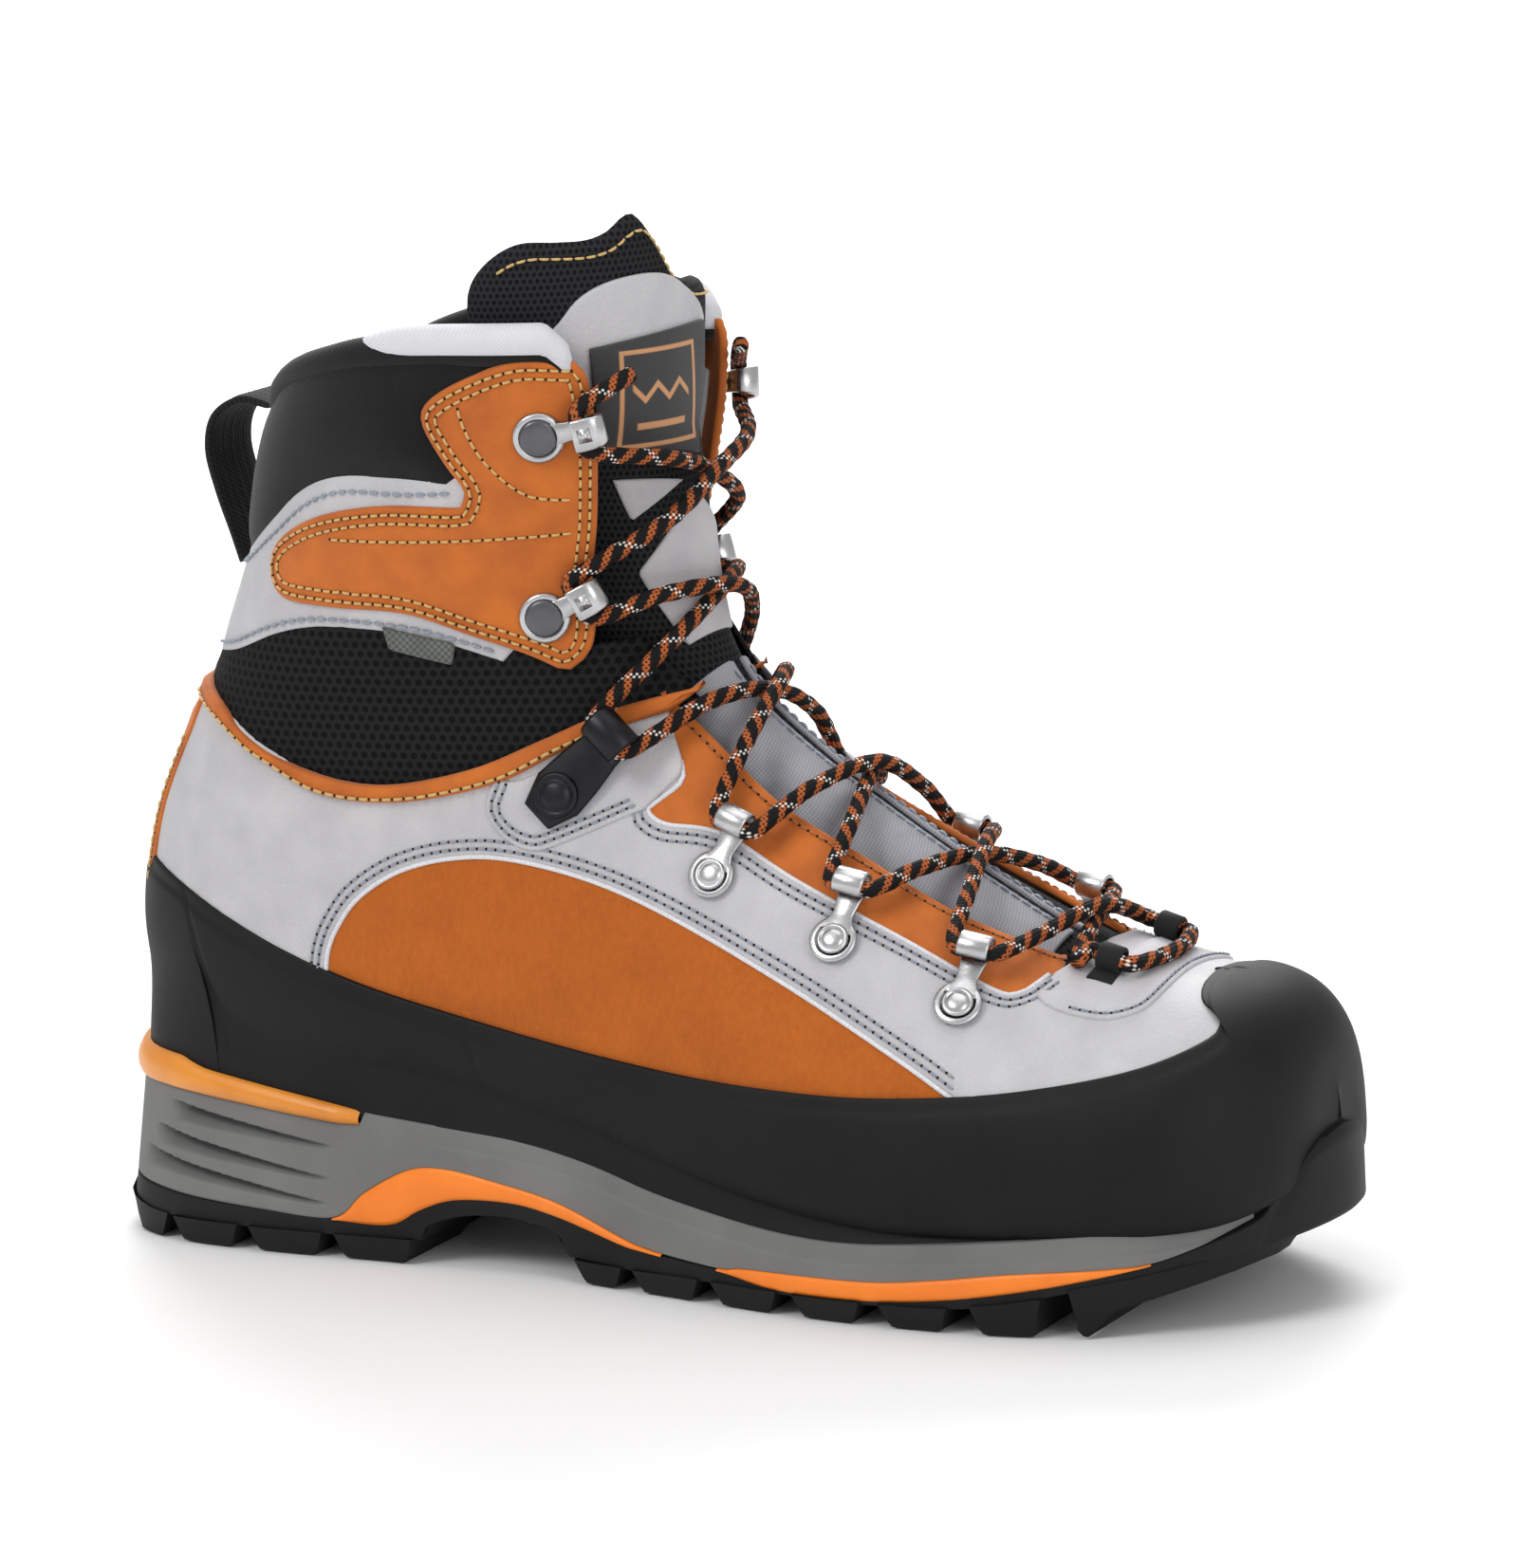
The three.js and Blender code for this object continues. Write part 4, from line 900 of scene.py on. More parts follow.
def foot_side(side, tag):
    """The panels sewn on one side of the shell."""
    turn = turner(side)

    def double_seam(name, row, gaps, height):
        rows = [turn(beside(row, gap)) for gap in gaps]
        stitches(name, rows, height, BLUE_THREAD, "foot", True, "grey_synthetic", *FINE_STITCH)

    low = [(x, z - 4.0) for x, z in RAND_EDGE if -124 < x < 90]
    arc_line = chart(smooth(QUARTER_ARC))
    upper = beside(arc_line, 3.0)
    lower = chart(smooth(low))[::-1]
    cover(panel(f"quarter_{tag}", turn(np.vstack([upper, lower])), SUEDE, "foot", 1.5, 0.0, 0.8, 2.4),
          "orange_suede", f"quarter_{tag}")
    double_seam(f"quarter_seam_{tag}", arc_line, (1.6, 3.5), 2.3)
    piping(f"quarter_piping_{tag}", turn(beside(arc_line, -0.2)), 1.6, 0.6, PIPING, "foot")
    top_edge = [(91, 74.6), (86, 76.4), (66, 85), (46, 95.5), (26, 106.5), (13, 116.5), (4, 124.5), (-3, 131)]
    low_seam = chart(smooth(FACING_LOW))
    facing = np.vstack([beside(low_seam, -3.0)[::-1], chart(smooth([(0, 121), (-2.5, 126), (-3, 131)])),
                        chart(smooth(top_edge[::-1]))])
    cover(panel(f"facing_{tag}", turn(facing), NUBUCK, "foot", 1.6, 0.0, 0.8, 2.4), "orange_nubuck",
          f"facing_{tag}")
    double_seam(f"facing_seam_{tag}", low_seam, (-1.5, -3.3), 2.3)
    piping(f"facing_piping_{tag}", turn(beside(low_seam, 0.2)), 1.6, 0.6, PIPING, "foot")
    edge_row = beside(chart(smooth(top_edge)), 2.0)
    stitches(f"facing_edge_seam_{tag}", [turn(edge_row)], 1.6, RUST_THREAD, "foot", True,
             "orange_nubuck", 2.4, 0.24)
    patch = turn(loop(PATCH, [(-3, 106), (1, 110), (4, 114), (1, 121)],
                      [(1, 121), (-9, 122), (-20, 118), (-32, 112.5), (-38, 113)]))
    cover(panel(f"ankle_patch_{tag}", patch, SYNTHETIC, "foot", 3.0, 1.6, 0.8, 2.4), "grey_synthetic",
          f"ankle_patch_{tag}")
    double_seam(f"ankle_patch_seam_{tag}", chart(smooth(PATCH)), (1.6, 3.3), 3.1)


for tag, side in SIDES.items():
    foot_side(side, tag)

VAMP_BORDER = [(4.86, 31), (5.07, 35), (4.9, 38), (4.5, 38), (4.23, 36), (3.97, 29), (3.9, 17), (3.92, 0)]
vamp_side = chart_curve(from_degrees(VAMP_BORDER))
vamp = np.vstack([vamp_side, mirror(vamp_side)[::-1][1:]])
cover(panel("vamp_border", vamp, SYNTHETIC, "foot", 3.0, 1.8, 0.8, 2.2), "grey_synthetic")
vamp_row = beside(vamp_side, 1.4)[6:]
stitches("vamp_border_seam", [vamp_row, mirror(vamp_row)], 3.1, BLUE_THREAD, "foot", True,
         "grey_synthetic", *FINE_STITCH)


def rear(z):
    """Chart point on the back of the boot at a height."""
    return [[np.interp(z, STATIONS[HEEL_STATION:, 3], np.arange(HEEL_STATION, LAST_STATION + 1)), PI]]


trim_low = np.vstack([rear(125), line(*TRIM_BOTTOM)])
trim_top = np.vstack([rear(129.5), line(*FLEX_BOTTOM)])
trim = np.vstack([trim_low, trim_top[::-1]])
for tag, side in SIDES.items():
    turn = turner(side)
    cover(panel(f"topline_{tag}", turn(trim), NUBUCK, "foot", 3.6, 0.3, 1.1, 2.0, fillet(0.5, 1.5)),
          "orange_nubuck", f"topline_{tag}")
    run = beside(trim_low[1:], 0.9)
    run = run[run[:, 1] > math.radians(42)]
    stitches(f"topline_seam_{tag}", [turn(run)], 3.7, GOLD_THREAD, "foot",
             True, "orange_nubuck")

BACKSTAY_HALF, BACKSTAY_ROWS = 25.0, 30


def back_strip(half, s_low, s_high):
    """A strip up the back of the boot, half wide on each side of the centre."""
    s = np.linspace(s_low, s_high, BACKSTAY_ROWS)
    per_radian = np.linalg.norm(slopes(s, np.full(BACKSTAY_ROWS, PI - 0.1))[1], axis=1)
    reach = half / per_radian
    return np.vstack([np.stack([s, PI - reach], 1), np.stack([s, PI + reach], 1)[::-1]])


strip = back_strip(BACKSTAY_HALF, 12.1, 14.18)
strip = np.vstack([strip[:BACKSTAY_ROWS], rear(128), strip[BACKSTAY_ROWS:]])
cover(panel("backstay", strip, NUBUCK, "foot", 3.0, 0.8, 0.9, 2.2, fillet(0.3, 2.0)),
      "orange_nubuck", "backstay")
seam = back_strip(BACKSTAY_HALF - 1.8, 12.4, 13.9)
stitches("backstay_seam", [seam[:BACKSTAY_ROWS], seam[BACKSTAY_ROWS:]], 3.2, GOLD_THREAD, "foot", True,
         "orange_nubuck")

# ---- mesh ankle ----
flex_low = beside(line(*FLEX_BOTTOM), -5.0)
flex_top = beside(line(*FLEX_TOP), 5.0)
flex = np.vstack([flex_low[::-1], wrap(flex_low), wrap(flex_top)[::-1], flex_top])
flex_mesh = panel("flex_mesh", flex, MESH, None, 1.4, 0.1, 0.8, 2.6,
                  lambda d, s, psi: 0.9 * (1 - np.exp(-np.maximum(d - 5, 0) / 4)))


def unrolled(mesh):
    """Flat coordinates for a piece round the ankle: distance round it, and height."""
    co = mesh_points(mesh) / MM
    x, y = co[:, 0] + 55.0, co[:, 1]
    away = np.where(x > -25, -x, 25 + 36 * np.arctan2(np.maximum(-x - 25, 0), np.abs(y) + 1e-6))
    return np.stack([away * MM, co[:, 2] * MM], 1)


give_uv(flex_mesh.data, unrolled(flex_mesh.data))
attach(flex_mesh, ANKLE)
cover(flex_mesh, "black_mesh", "flex_panel")

MESH_TAG = [(-62, 147.3), (-46, 143.6), (-47, 138.6), (-61, 142.2)]
tag_line = chart(resample(MESH_TAG + MESH_TAG[:1], 1.2)[:-1])
cover(panel("mesh_tag", tag_line, WOVEN_TAG, ANKLE, 2.9, 0.6, 0.4, 1.8), "black_mesh")

# ---- cuff: band, pad, leather ----
band_low = beside(line(*FLEX_TOP), -1.0)
band_low = band_low[band_low[:, 1] > math.radians(54)]
band_top = beside(line(*BAND_TOP, (-30, 186), (-20, 195)), 3.0)
front = resample(np.array([(16.3, 0.86), (14.4, 0.79), (12.9, 0.8)]) * CHART_SCALE, 1.6) / CHART_SCALE
band = np.vstack([band_low[::-1], wrap(band_low), wrap(front)[::-1], wrap(band_top)[::-1], band_top, front])
cover(panel("cuff_band", band, SYNTHETIC, "cuff", 1.9, 0.1, 1.0, 2.6, fillet(0.3, 2.0)),
      "grey_synthetic", "cuff_band")
band_seam = beside(line(*BAND_TOP), -1.8)
stitches("cuff_band_seam", [band_seam, wrap(band_seam)], 2.3, BLUE_THREAD, "cuff", False, "grey_synthetic")
low_seam = beside(band_low, 2.0)
stitches("cuff_band_low_seam", [low_seam, wrap(low_seam)], 2.3, BLUE_THREAD, "cuff", False,
         "grey_synthetic")


PAD_SEAM = [(-111, 158), (-104, 159), (-92, 167), (-80, 175.5), (-68, 179.5), (-52, 179.5), (-40, 178.5),
            (-38.5, 184), (-42.5, 193), (-40, 198.5), (-32, 202), (-20, 205)]
pad_low = from_back(line(*PAD_SEAM))
pad_top = from_back(line(*[(x, z - 1.0) for x, z in COLLAR if x < -15]))
pad_outline = np.vstack([pad_low[::-1], wrap(pad_low)[1:], wrap(pad_top)[::-1], pad_top[1:]])
pad = panel("collar_pad", pad_outline, STRETCH, "cuff", 1.7, 0.0, 1.2, 2.2, fillet(3.2, 5.5))
cover(pad, "black_stretch", "collar_pad")

CUFF_EDGE = [(16.97, 47.5), (16.8, 45), (16.3, 43), (15.6, 41), (14.4, 39), (13.4, 38), (12.3, 36.5),
             (11.7, 37.5), (11.45, 40), (11.42, 43)]


def cuff_side(side, tag):
    """One side's two-lobed cuff leather and its rows of stitching."""
    turn = turner(side)
    front = chart_curve(from_degrees(CUFF_EDGE), 1.9)
    outline = np.vstack([front, chart(path(CUFF_LOBE[::-1], CUFF_TOP[::-1], step=1.9))])
    cover(panel(f"cuff_leather_{tag}", turn(outline), NUBUCK, "cuff", 3.3, 1.2, 1.0, 2.4, fillet(0.3, 2.0)),
          "orange_nubuck", f"cuff_leather_{tag}")
    around = outline[:-1] if np.allclose(outline[0], outline[-1]) else outline
    around = counter_clockwise(around)
    rows = []
    for gap in (1.8, 3.8):
        ring = beside(around, gap, closed=True)
        rows.append(turn(np.vstack([ring, ring[:1]])))
    lobe_row = chart(smooth([(-37, 198), (-36, 193), (-33, 186), (-27, 179), (-22, 177), (-16, 176.5)]))
    low_cross = chart(smooth([(-72, 167), (-50, 167.5), (-28, 168.5), (-17, 169)]))
    rows += [turn(lobe_row), turn(low_cross)]
    stitches(f"cuff_leather_seam_{tag}", rows, 3.6, GOLD_THREAD, "cuff", True, "orange_nubuck", 2.5, 0.3)


for tag, side in SIDES.items():
    cuff_side(side, tag)

# ---- sole: outline and side profiles ----
SOLE_OUTLINE = [(149, -2), (145, -20), (134.5, -35), (115, -46.5), (92, -52.5), (66, -54), (36, -52),
                (4, -46.5), (-30, -41), (-70, -39.5), (-106, -39.5), (-132, -36), (-148.5, -24.5),
                (-155, 0), (-148.5, 23), (-132, 34.5), (-106, 37.5), (-70, 36.5), (-30, 36), (4, 39),
                (36, 44), (66, 47), (92, 46.5), (115, 41), (134.5, 30), (145, 16)]
HEEL_JOINT = [(-160, 13.5), (-140, 12.3), (-125, 11.2), (-105, 10), (-86, 9.4)]
MIDSOLE_LOW = [*HEEL_JOINT, (-78, 16), (-67, 22), (-57, 23), (-43, 21), (-27, 18), (-9, 12.3), (-2, 10.6),
               (8, 9.4), (20, 8.6), (27, 9.4), (57, 9.9), (73, 11.5), (91, 13.9), (112, 15.4), (121, 16.4),
               (131, 20.0), (139.5, 24.4)]
TREAD_TOP = [*HEEL_JOINT, (-71, 9.4), (-63, 13.5), (-54, 16.5), (-39, 17), (-26, 15), (-9, 11), (-2, 10.1),
             (8, 9.2), (20, 8.3), (34, 6.2), (54, 6), (72, 7.3), (91, 10.1), (107, 13.2), (121, 16.4),
             (131, 20), (139.5, 24.4), (141.5, 28), (144.5, 32.5), (147, 36.5), (149.5, 39.5)]
DECK = [(-160, 9), (-142, 6.5), (-130, 5.8), (-66, 5.8), (-63, 8), (-58, 10.8), (-50, 12.8), (-38, 13.2),
        (-26, 10.8), (-20, 5.6), (20, 5.2), (60, 5.0), (84, 6.2), (104, 10.2), (119, 13.2), (136, 17),
        (156, 21)]
GROUND = [(-160, 5), (-142, 1.2), (-134, 0), (92, 0), (104, 3.6), (119, 8), (136, 13), (156, 19)]
FEATHER = [(-160, 43.5), (-134, 42.6), (-120, 41.0), (-107, 39.1), (-97, 37.6), (-87, 36), (-77, 34.4),
           (-57, 32.6), (-38, 30.9), (-18, 27.4), (1, 23), (25, 19.4), (41, 18), (55, 18), (73, 19.4),
           (91, 21), (107, 22.6), (122, 23.8), (132, 25.2), (141, 27.2)]
WELT_BOTTOM = [(-160, 37.5), (-132, 36.6), (-115, 35.2), (-98, 33.4), (-84, 31.9), (-80, 31.6)]
WELT_END = -80.0
BUMPER_START = 139.6


def height_at(profile, x):
    """Height of a side-view profile at x."""
    fine = smooth(profile, 1.0)
    return np.interp(x, fine[:, 0], fine[:, 1])


def plan(points, z):
    """Sole outline points at a height: the wall leans in slightly as it rises."""
    x = 149 - (149 - points[:, 0]) * (1 - 0.00052 * z)
    y = points[:, 1] * (1 - 0.0011 * z)
    return np.stack([x, y, z], 1) + ORIGIN


sole_edge = smooth(SOLE_OUTLINE, 1.3, closed=True)[:-1]
along = unit(np.roll(sole_edge, -1, 0) - np.roll(sole_edge, 1, 0))
sole_edge_out = np.stack([-along[:, 1], along[:, 0]], 1)


def half_outline(side):
    """One side of the sole outline, from the toe's middle to the heel's."""
    points = sole_edge[sole_edge[:, 1] * side <= 0]
    points = points[np.argsort(-points[:, 0])]
    ends = [[sole_edge[:, 0].max(), 0.0]], [[sole_edge[:, 0].min(), 0.0]]
    return np.vstack([ends[0], points, ends[1]])


# ---- rubber rand, from its top edge down to the sole ----
RAND_HIGH, RAND_LOW_PSI = 3.5, 0.66 * PI
SKIVE_WIDTH = 3.6
RAND_SEAM_X = (86.0, -44.0, -118.0)
RAND_SEAM_DEPTH, RAND_SEAM_WIDTH = 0.3, 0.8
RAND_TUCK = 2.0
rand_top = chart(smooth(RAND_EDGE, 1.3))[::-1]
ridge_start = np.array([[3.42, 0.0]])
rand_top = np.vstack([resample(np.vstack([ridge_start, rand_top[:1]]), 0.05)[:-1], rand_top,
                      [[rand_top[-1, 0], PI]]])
top_points = surface(rand_top[:, 0], rand_top[:, 1]) - ORIGIN
top_reach = reach_along(top_points)
COLUMNS, ROWS, SKIRT = 330, 40, 14
column_at = np.linspace(0, top_reach[-1], COLUMNS)
rand_top = np.stack([np.interp(column_at, top_reach, rand_top[:, k]) for k in (0, 1)], 1)
top_x = (surface(rand_top[:, 0], rand_top[:, 1]) - ORIGIN)[:, 0]
bottom_grid = np.linspace(0, 11.6, 300)
bottom_x = (surface(bottom_grid, np.full(300, RAND_LOW_PSI)) - ORIGIN)[:, 0]
by_x = np.interp(-top_x, -bottom_x, bottom_grid)
TIP_REACH, TOE_REACH, HEEL_REACH = 26.0, 62.0, 46.0
share = np.clip((column_at - TIP_REACH) / (TOE_REACH - TIP_REACH), 0, 1)
rand_bottom = np.stack([by_x * share, np.minimum(column_at / TIP_REACH, 1) * RAND_LOW_PSI], 1)
heel = np.clip((column_at - column_at[-1] + HEEL_REACH) / HEEL_REACH, 0, 1)
rand_bottom[:, 0] += (12.0 - rand_bottom[:, 0]) * heel
rand_bottom[:, 1] += (PI - rand_bottom[:, 1]) * heel


def rand_side(side):
    """One side of the rand: a grid of rows round the last, then a skirt down to the sole's edge."""
    v = (np.linspace(0, 1, ROWS) ** 1.4)[:, None, None]
    uv = rand_top * (1 - v) + rand_bottom * v
    s, psi = uv[..., 0], uv[..., 1] * side
    base = surface(s, psi)
    out = normal(s, psi)
    depth = np.concatenate([np.zeros((1, COLUMNS)),
                            np.cumsum(np.linalg.norm(np.diff(base, axis=0), axis=2), axis=0)])
    height = RAND_HIGH - 0.5 / (1 + np.exp((depth - SKIVE_WIDTH) * 3.2)) - 0.45 * np.exp(-depth / 0.3)
    for seam_x in RAND_SEAM_X:
        gap = np.abs(base[..., 0] - ORIGIN[0] - seam_x - (depth - 8) * 0.3)
        height -= RAND_SEAM_DEPTH * np.exp(-(gap / RAND_SEAM_WIDTH) ** 2)
    top = base + out * height[..., None]
    first = base[:1] + out[:1] * 0.6
    edge = half_outline(side)
    reach = reach_along(edge)
    last_row = top[-1]
    along_x = np.interp(-(last_row[:, 0] - ORIGIN[0]), -edge[:, 0], reach)
    toe = np.clip(column_at / TOE_REACH, 0, 1)
    toe_arc = np.interp(TOE_REACH, column_at, along_x)
    arc = np.where(column_at < TOE_REACH, toe_arc * toe, along_x)
    heel_arc = np.interp(column_at[-1] - HEEL_REACH, column_at, along_x)
    arc = np.where(heel > 0, heel_arc + (reach[-1] - heel_arc) * heel, arc)
    foot = np.stack([np.interp(arc, reach, edge[:, k]) for k in (0, 1)], 1)
    foot_z = height_at(FEATHER, foot[:, 0]) - RAND_TUCK
    target = plan(foot, foot_z)
    middle = np.array([[-5.0, 0.0]]) + ORIGIN[:2]
    target[:, 0:2] += unit(middle - target[:, 0:2]) * 0.9
    span = np.linalg.norm(target - last_row, axis=1)[:, None]
    leave = unit(top[-1] - top[-2]) * span
    arrive = np.array([0.0, 0.0, -1.0]) * span * 0.9
    skirt = []
    for w in np.linspace(0, 1, SKIRT + 1)[1:]:
        skirt.append(last_row * (2 * w ** 3 - 3 * w ** 2 + 1) + leave * (w ** 3 - 2 * w ** 2 + w)
                     + target * (3 * w ** 2 - 2 * w ** 3) + arrive * (w ** 3 - w ** 2))
    return np.concatenate([first, top, np.stack(skirt)]).reshape(-1, 3)


rand_faces = grid_faces(ROWS + 1 + SKIRT, COLUMNS)
rand = make("rand", *join([(rand_side(LATERAL), flipped(rand_faces)), (rand_side(MEDIAL), rand_faces)]),
            RAND_RUBBER, "foot")
cover(rand, "rand_rubber", "rand_toe", "rand_heel", "rand_lateral", "rand_medial")


def wall(low, high, keep, rows=24, swell=None, flange=6.0, bottom_flange=10.0, relief=None):
    """The side of a sole layer from low(x) to high(x) over the kept part of the outline.
    swell(v) moves it out at each share of its height, relief(x, z) moves it in."""
    closed = bool(keep.all())
    order = np.arange(len(sole_edge))
    if not closed:
        first = int(np.nonzero(keep & ~np.roll(keep, 1))[0][0])
        order = np.roll(order, -first)
        order = order[keep[order]]
    base, out = sole_edge[order], sole_edge_out[order]
    z_low, z_high = low(base[:, 0]), high(base[:, 0])
    rings = []
    for v in np.linspace(0, 1, rows):
        z = z_low + (z_high - z_low) * v
        ring = plan(base, z)
        shift = swell(v) if swell else 0.0
        move = np.full(len(base), shift)
        if relief is not None:
            move = move - relief(base[:, 0], z)
        ring[:, 0:2] += out * move[:, None]
        rings.append(ring)
    inner = rings[-1].copy()
    inner[:, 0:2] -= out * flange
    under = rings[0].copy()
    under[:, 0:2] -= out * bottom_flange
    rings = [under, *rings, inner]
    faces = grid_faces(len(rings), len(base), closed)
    return np.vstack(rings), flipped(faces)


def rounded(depth, sharp=0.12):
    """Edges of a wall eased in by a depth near its foot and top."""
    def swell(v):
        near = min(v, 1 - v)
        return -depth * (1 - min(near / sharp, 1.0)) ** 2
    return swell


GROOVES = [(-133, 31.0, -88, 25.8), (-138, 24.7, -88, 18.2), (-142, 19.0, -88.5, 12.4)]
GROOVE_HALF, GROOVE_DEPTH = 2.0, 4.6


def grooves(x, z):
    """Depth of the wedge-shaped grooves in the side of the heel."""
    depth = np.zeros(len(x))
    for x0, z0, x1, z1 in GROOVES:
        share = (x - x0) / (x1 - x0)
        middle = z0 + (z1 - z0) * share
        half = GROOVE_HALF * (1.15 - 0.85 * np.clip(share, 0, 1))
        across = np.clip((z - middle + half) / (1.1 * half), 0, 1) * np.clip((middle + half - z) / 0.35, 0, 1)
        ends = np.clip((x - x0) / 1.5, 0, 1) * np.clip((x1 - x) / 34, 0, 1) ** 0.6
        depth = np.maximum(depth, GROOVE_DEPTH * across * ends)
    return depth


def midsole_top(x):
    """The midsole's top line: under the ledge at the heel, under the rand elsewhere."""
    feather = height_at(FEATHER, x)
    under_welt = height_at(WELT_BOTTOM, np.minimum(x, WELT_END))
    return np.where(x < WELT_END, np.minimum(under_welt, feather), feather)


def midsole_relief(x, z):
    """Heel grooves and one long step line."""
    step = height_at(FEATHER, x) - 5.0
    edge = 0.5 * np.clip((z - step) / 0.8, 0, 1) * (x > -60)
    return grooves(x, z) + edge


behind_bumper = sole_edge[:, 0] < BUMPER_START
midsole = make("midsole", *wall(lambda x: height_at(MIDSOLE_LOW, x), midsole_top, behind_bumper, 96,
                                rounded(0.5, 0.03), 9.0, 6.0, midsole_relief), GREY_FOAM, "foot")
cover(midsole, "grey_midsole", "midsole")
heel_part = sole_edge[:, 0] < WELT_END


def welt_swell(v):
    return 2.4 * math.sin(PI * min(v * 0.8 + 0.1, 1.0)) ** 0.6 - 0.3


def welt_top(x):
    lip = 1.4 * np.clip((-124 - x) / 8, 0, 1) ** 1.5
    return height_at(FEATHER, x) + lip


def welt_end(x, _z):
    """The ledge thins out into the midsole at its front ends."""
    return 2.0 * np.clip((x - WELT_END + 8) / 8, 0, 1) ** 1.5


welt = make("heel_welt", *wall(lambda x: height_at(WELT_BOTTOM, np.minimum(x, WELT_END)) - 0.1, welt_top,
                               heel_part, 18, welt_swell, 9.0, 9.0, welt_end), AMBER, "foot")
cover(welt, "amber_plastic", "heel_welt")

arch_part = (sole_edge[:, 0] > -87) & (sole_edge[:, 0] < 4)
ball_part = (sole_edge[:, 0] > 18) & (sole_edge[:, 0] < 121)
inserts = []
for keep in (arch_part, ball_part):
    for side in SIDES.values():
        chosen = keep & (sole_edge[:, 1] * side < 0)
        inserts.append(wall(lambda x: height_at(TREAD_TOP, x) - 0.3,
                            lambda x: height_at(MIDSOLE_LOW, x) + 0.1,
                            chosen, 10, lambda v: 0.55 * math.sin(PI * v) ** 0.5, 6.0, 6.0))
cover(make("shank_edges", *join(inserts), ORANGE_PLASTIC, "foot"), "orange_plastic", "arch_insert",
      "forefoot_insert")


def tread_relief(x, z):
    """A slanting seam where the toe bumper meets the tread."""
    gap = np.abs((x - 142.0) - (z - 24) * 0.3)
    proud = 1.3 * np.clip((x - 128) / 10, 0, 1) * np.clip((41 - z) / 5, 0, 1)
    return 0.6 * np.exp(-(gap / 0.8) ** 2) * (z > 17) - proud


whole = np.ones(len(sole_edge), bool)
tread = wall(lambda x: height_at(DECK, x), lambda x: height_at(TREAD_TOP, x), whole, 30,
             rounded(0.7, 0.06), 10.0, 3.0, tread_relief)
lateral_edge = sole_edge[sole_edge[:, 1] < 0]
medial_edge = sole_edge[sole_edge[:, 1] >= 0]


def half_width(x, side):
    """Where the sole outline runs on one side, at x."""
    chosen = lateral_edge if side == LATERAL else medial_edge
    order = np.argsort(chosen[:, 0])
    return np.interp(x, chosen[order, 0], chosen[order, 1])


DECK_ROWS, DECK_COLUMNS = 9, 160
deck_x = np.linspace(-153.5, 147.5, DECK_COLUMNS)
deck_rows = []
for share in np.linspace(0, 1, DECK_ROWS):
    y = half_width(deck_x, LATERAL) * (1 - share) + half_width(deck_x, MEDIAL) * share
    deck_rows.append(plan(np.stack([deck_x, y * 0.985], 1), height_at(DECK, deck_x)))
deck = (np.vstack(deck_rows), flipped(grid_faces(DECK_ROWS, DECK_COLUMNS)))


# how far a lug stands above the ground and in from its outline, from its root to its face
LUG_STEPS = ((None, -1.6), (1.6, 0.2), (0.35, 0.9), (0.0, 1.7))


def lug(outer, inner):
    """One block of the tread between an outer and an inner edge line, chamfered at the ground."""
    ring = np.vstack([outer, inner[::-1]])
    middle = ring.mean(0)
    ground = np.maximum(height_at(GROUND, ring[:, 0]), 0.0)
    root = height_at(DECK, ring[:, 0]) + 0.6
    size = np.abs(ring - middle).max(0)
    levels = []
    for drop, inset in LUG_STEPS:
        z = root if drop is None else ground + drop
        scaled = middle + (ring - middle) * (1 - inset / size)
        levels.append(plan(scaled, np.minimum(z, root)))
    vertices = np.vstack(levels)
    n = len(ring)
    faces = grid_faces(4, n, closed=True)
    faces.append(list(range(3 * n, 4 * n)))
    area = (ring[:, 0] * np.roll(ring[:, 1], -1) - np.roll(ring[:, 0], -1) * ring[:, 1]).sum()
    return vertices, flipped(faces) if area > 0 else faces


CHANNEL, CHANNEL_HALF = 15.0, 1.75
HEEL_CHANNEL = 10.0
LUG_PITCH = 21.5
CENTRE_LUG_Y, CENTRE_LUG_HALF = 7.0, 6.0
HEEL_BLOCKS = ((-146, -112), (-107, -89), (-84, -69))
HEEL_BLOCK_HALF = 8.0
lugs = []


def edge_run(x0, x1, y0, y1=None):
    """A line of points from x0 to x1; y0 is a number or a side of the sole."""
    x = np.linspace(x0, x1, 7)
    y = np.full(7, float(y0)) if y1 is None else half_width(x, y0) * 0.99
    return np.stack([x, y], 1)


def side_lugs(cuts, channel, side):
    """The lugs between the cuts, from the sole edge in to the middle channel."""
    for (x0, w0), (x1, w1) in zip(cuts, cuts[1:]):
        a, b = x0 + w0 / 2, x1 - w1 / 2
        lugs.append(lug(edge_run(a, b, side, "edge"), edge_run(a, b, -side * (channel + CHANNEL_HALF))))


forefoot_cuts = [(-19, 0.0)] + [(-6 + LUG_PITCH * i, 6.4 + 0.5 * i) for i in range(6)] + [(143, 0.0)]
heel_cuts = [(-152, 0.0), (-131, 5.6), (-109.5, 6.4), (-86.5, 6.4), (-66, 0.0)]
for side in SIDES.values():
    side_lugs(forefoot_cuts, CHANNEL, side)
    side_lugs(heel_cuts, HEEL_CHANNEL, side)
centre_cuts = [(-18, 0.0)] + [(5 + LUG_PITCH * i, 4.0) for i in range(7)]
for (x0, w0), (x1, w1) in zip(centre_cuts, centre_cuts[1:]):
    a, b = x0 + w0 / 2, x1 - w1 / 2
    for y in (-CENTRE_LUG_Y, CENTRE_LUG_Y):
        lugs.append(lug(edge_run(a, b, y - CENTRE_LUG_HALF), edge_run(a, b, y + CENTRE_LUG_HALF)))
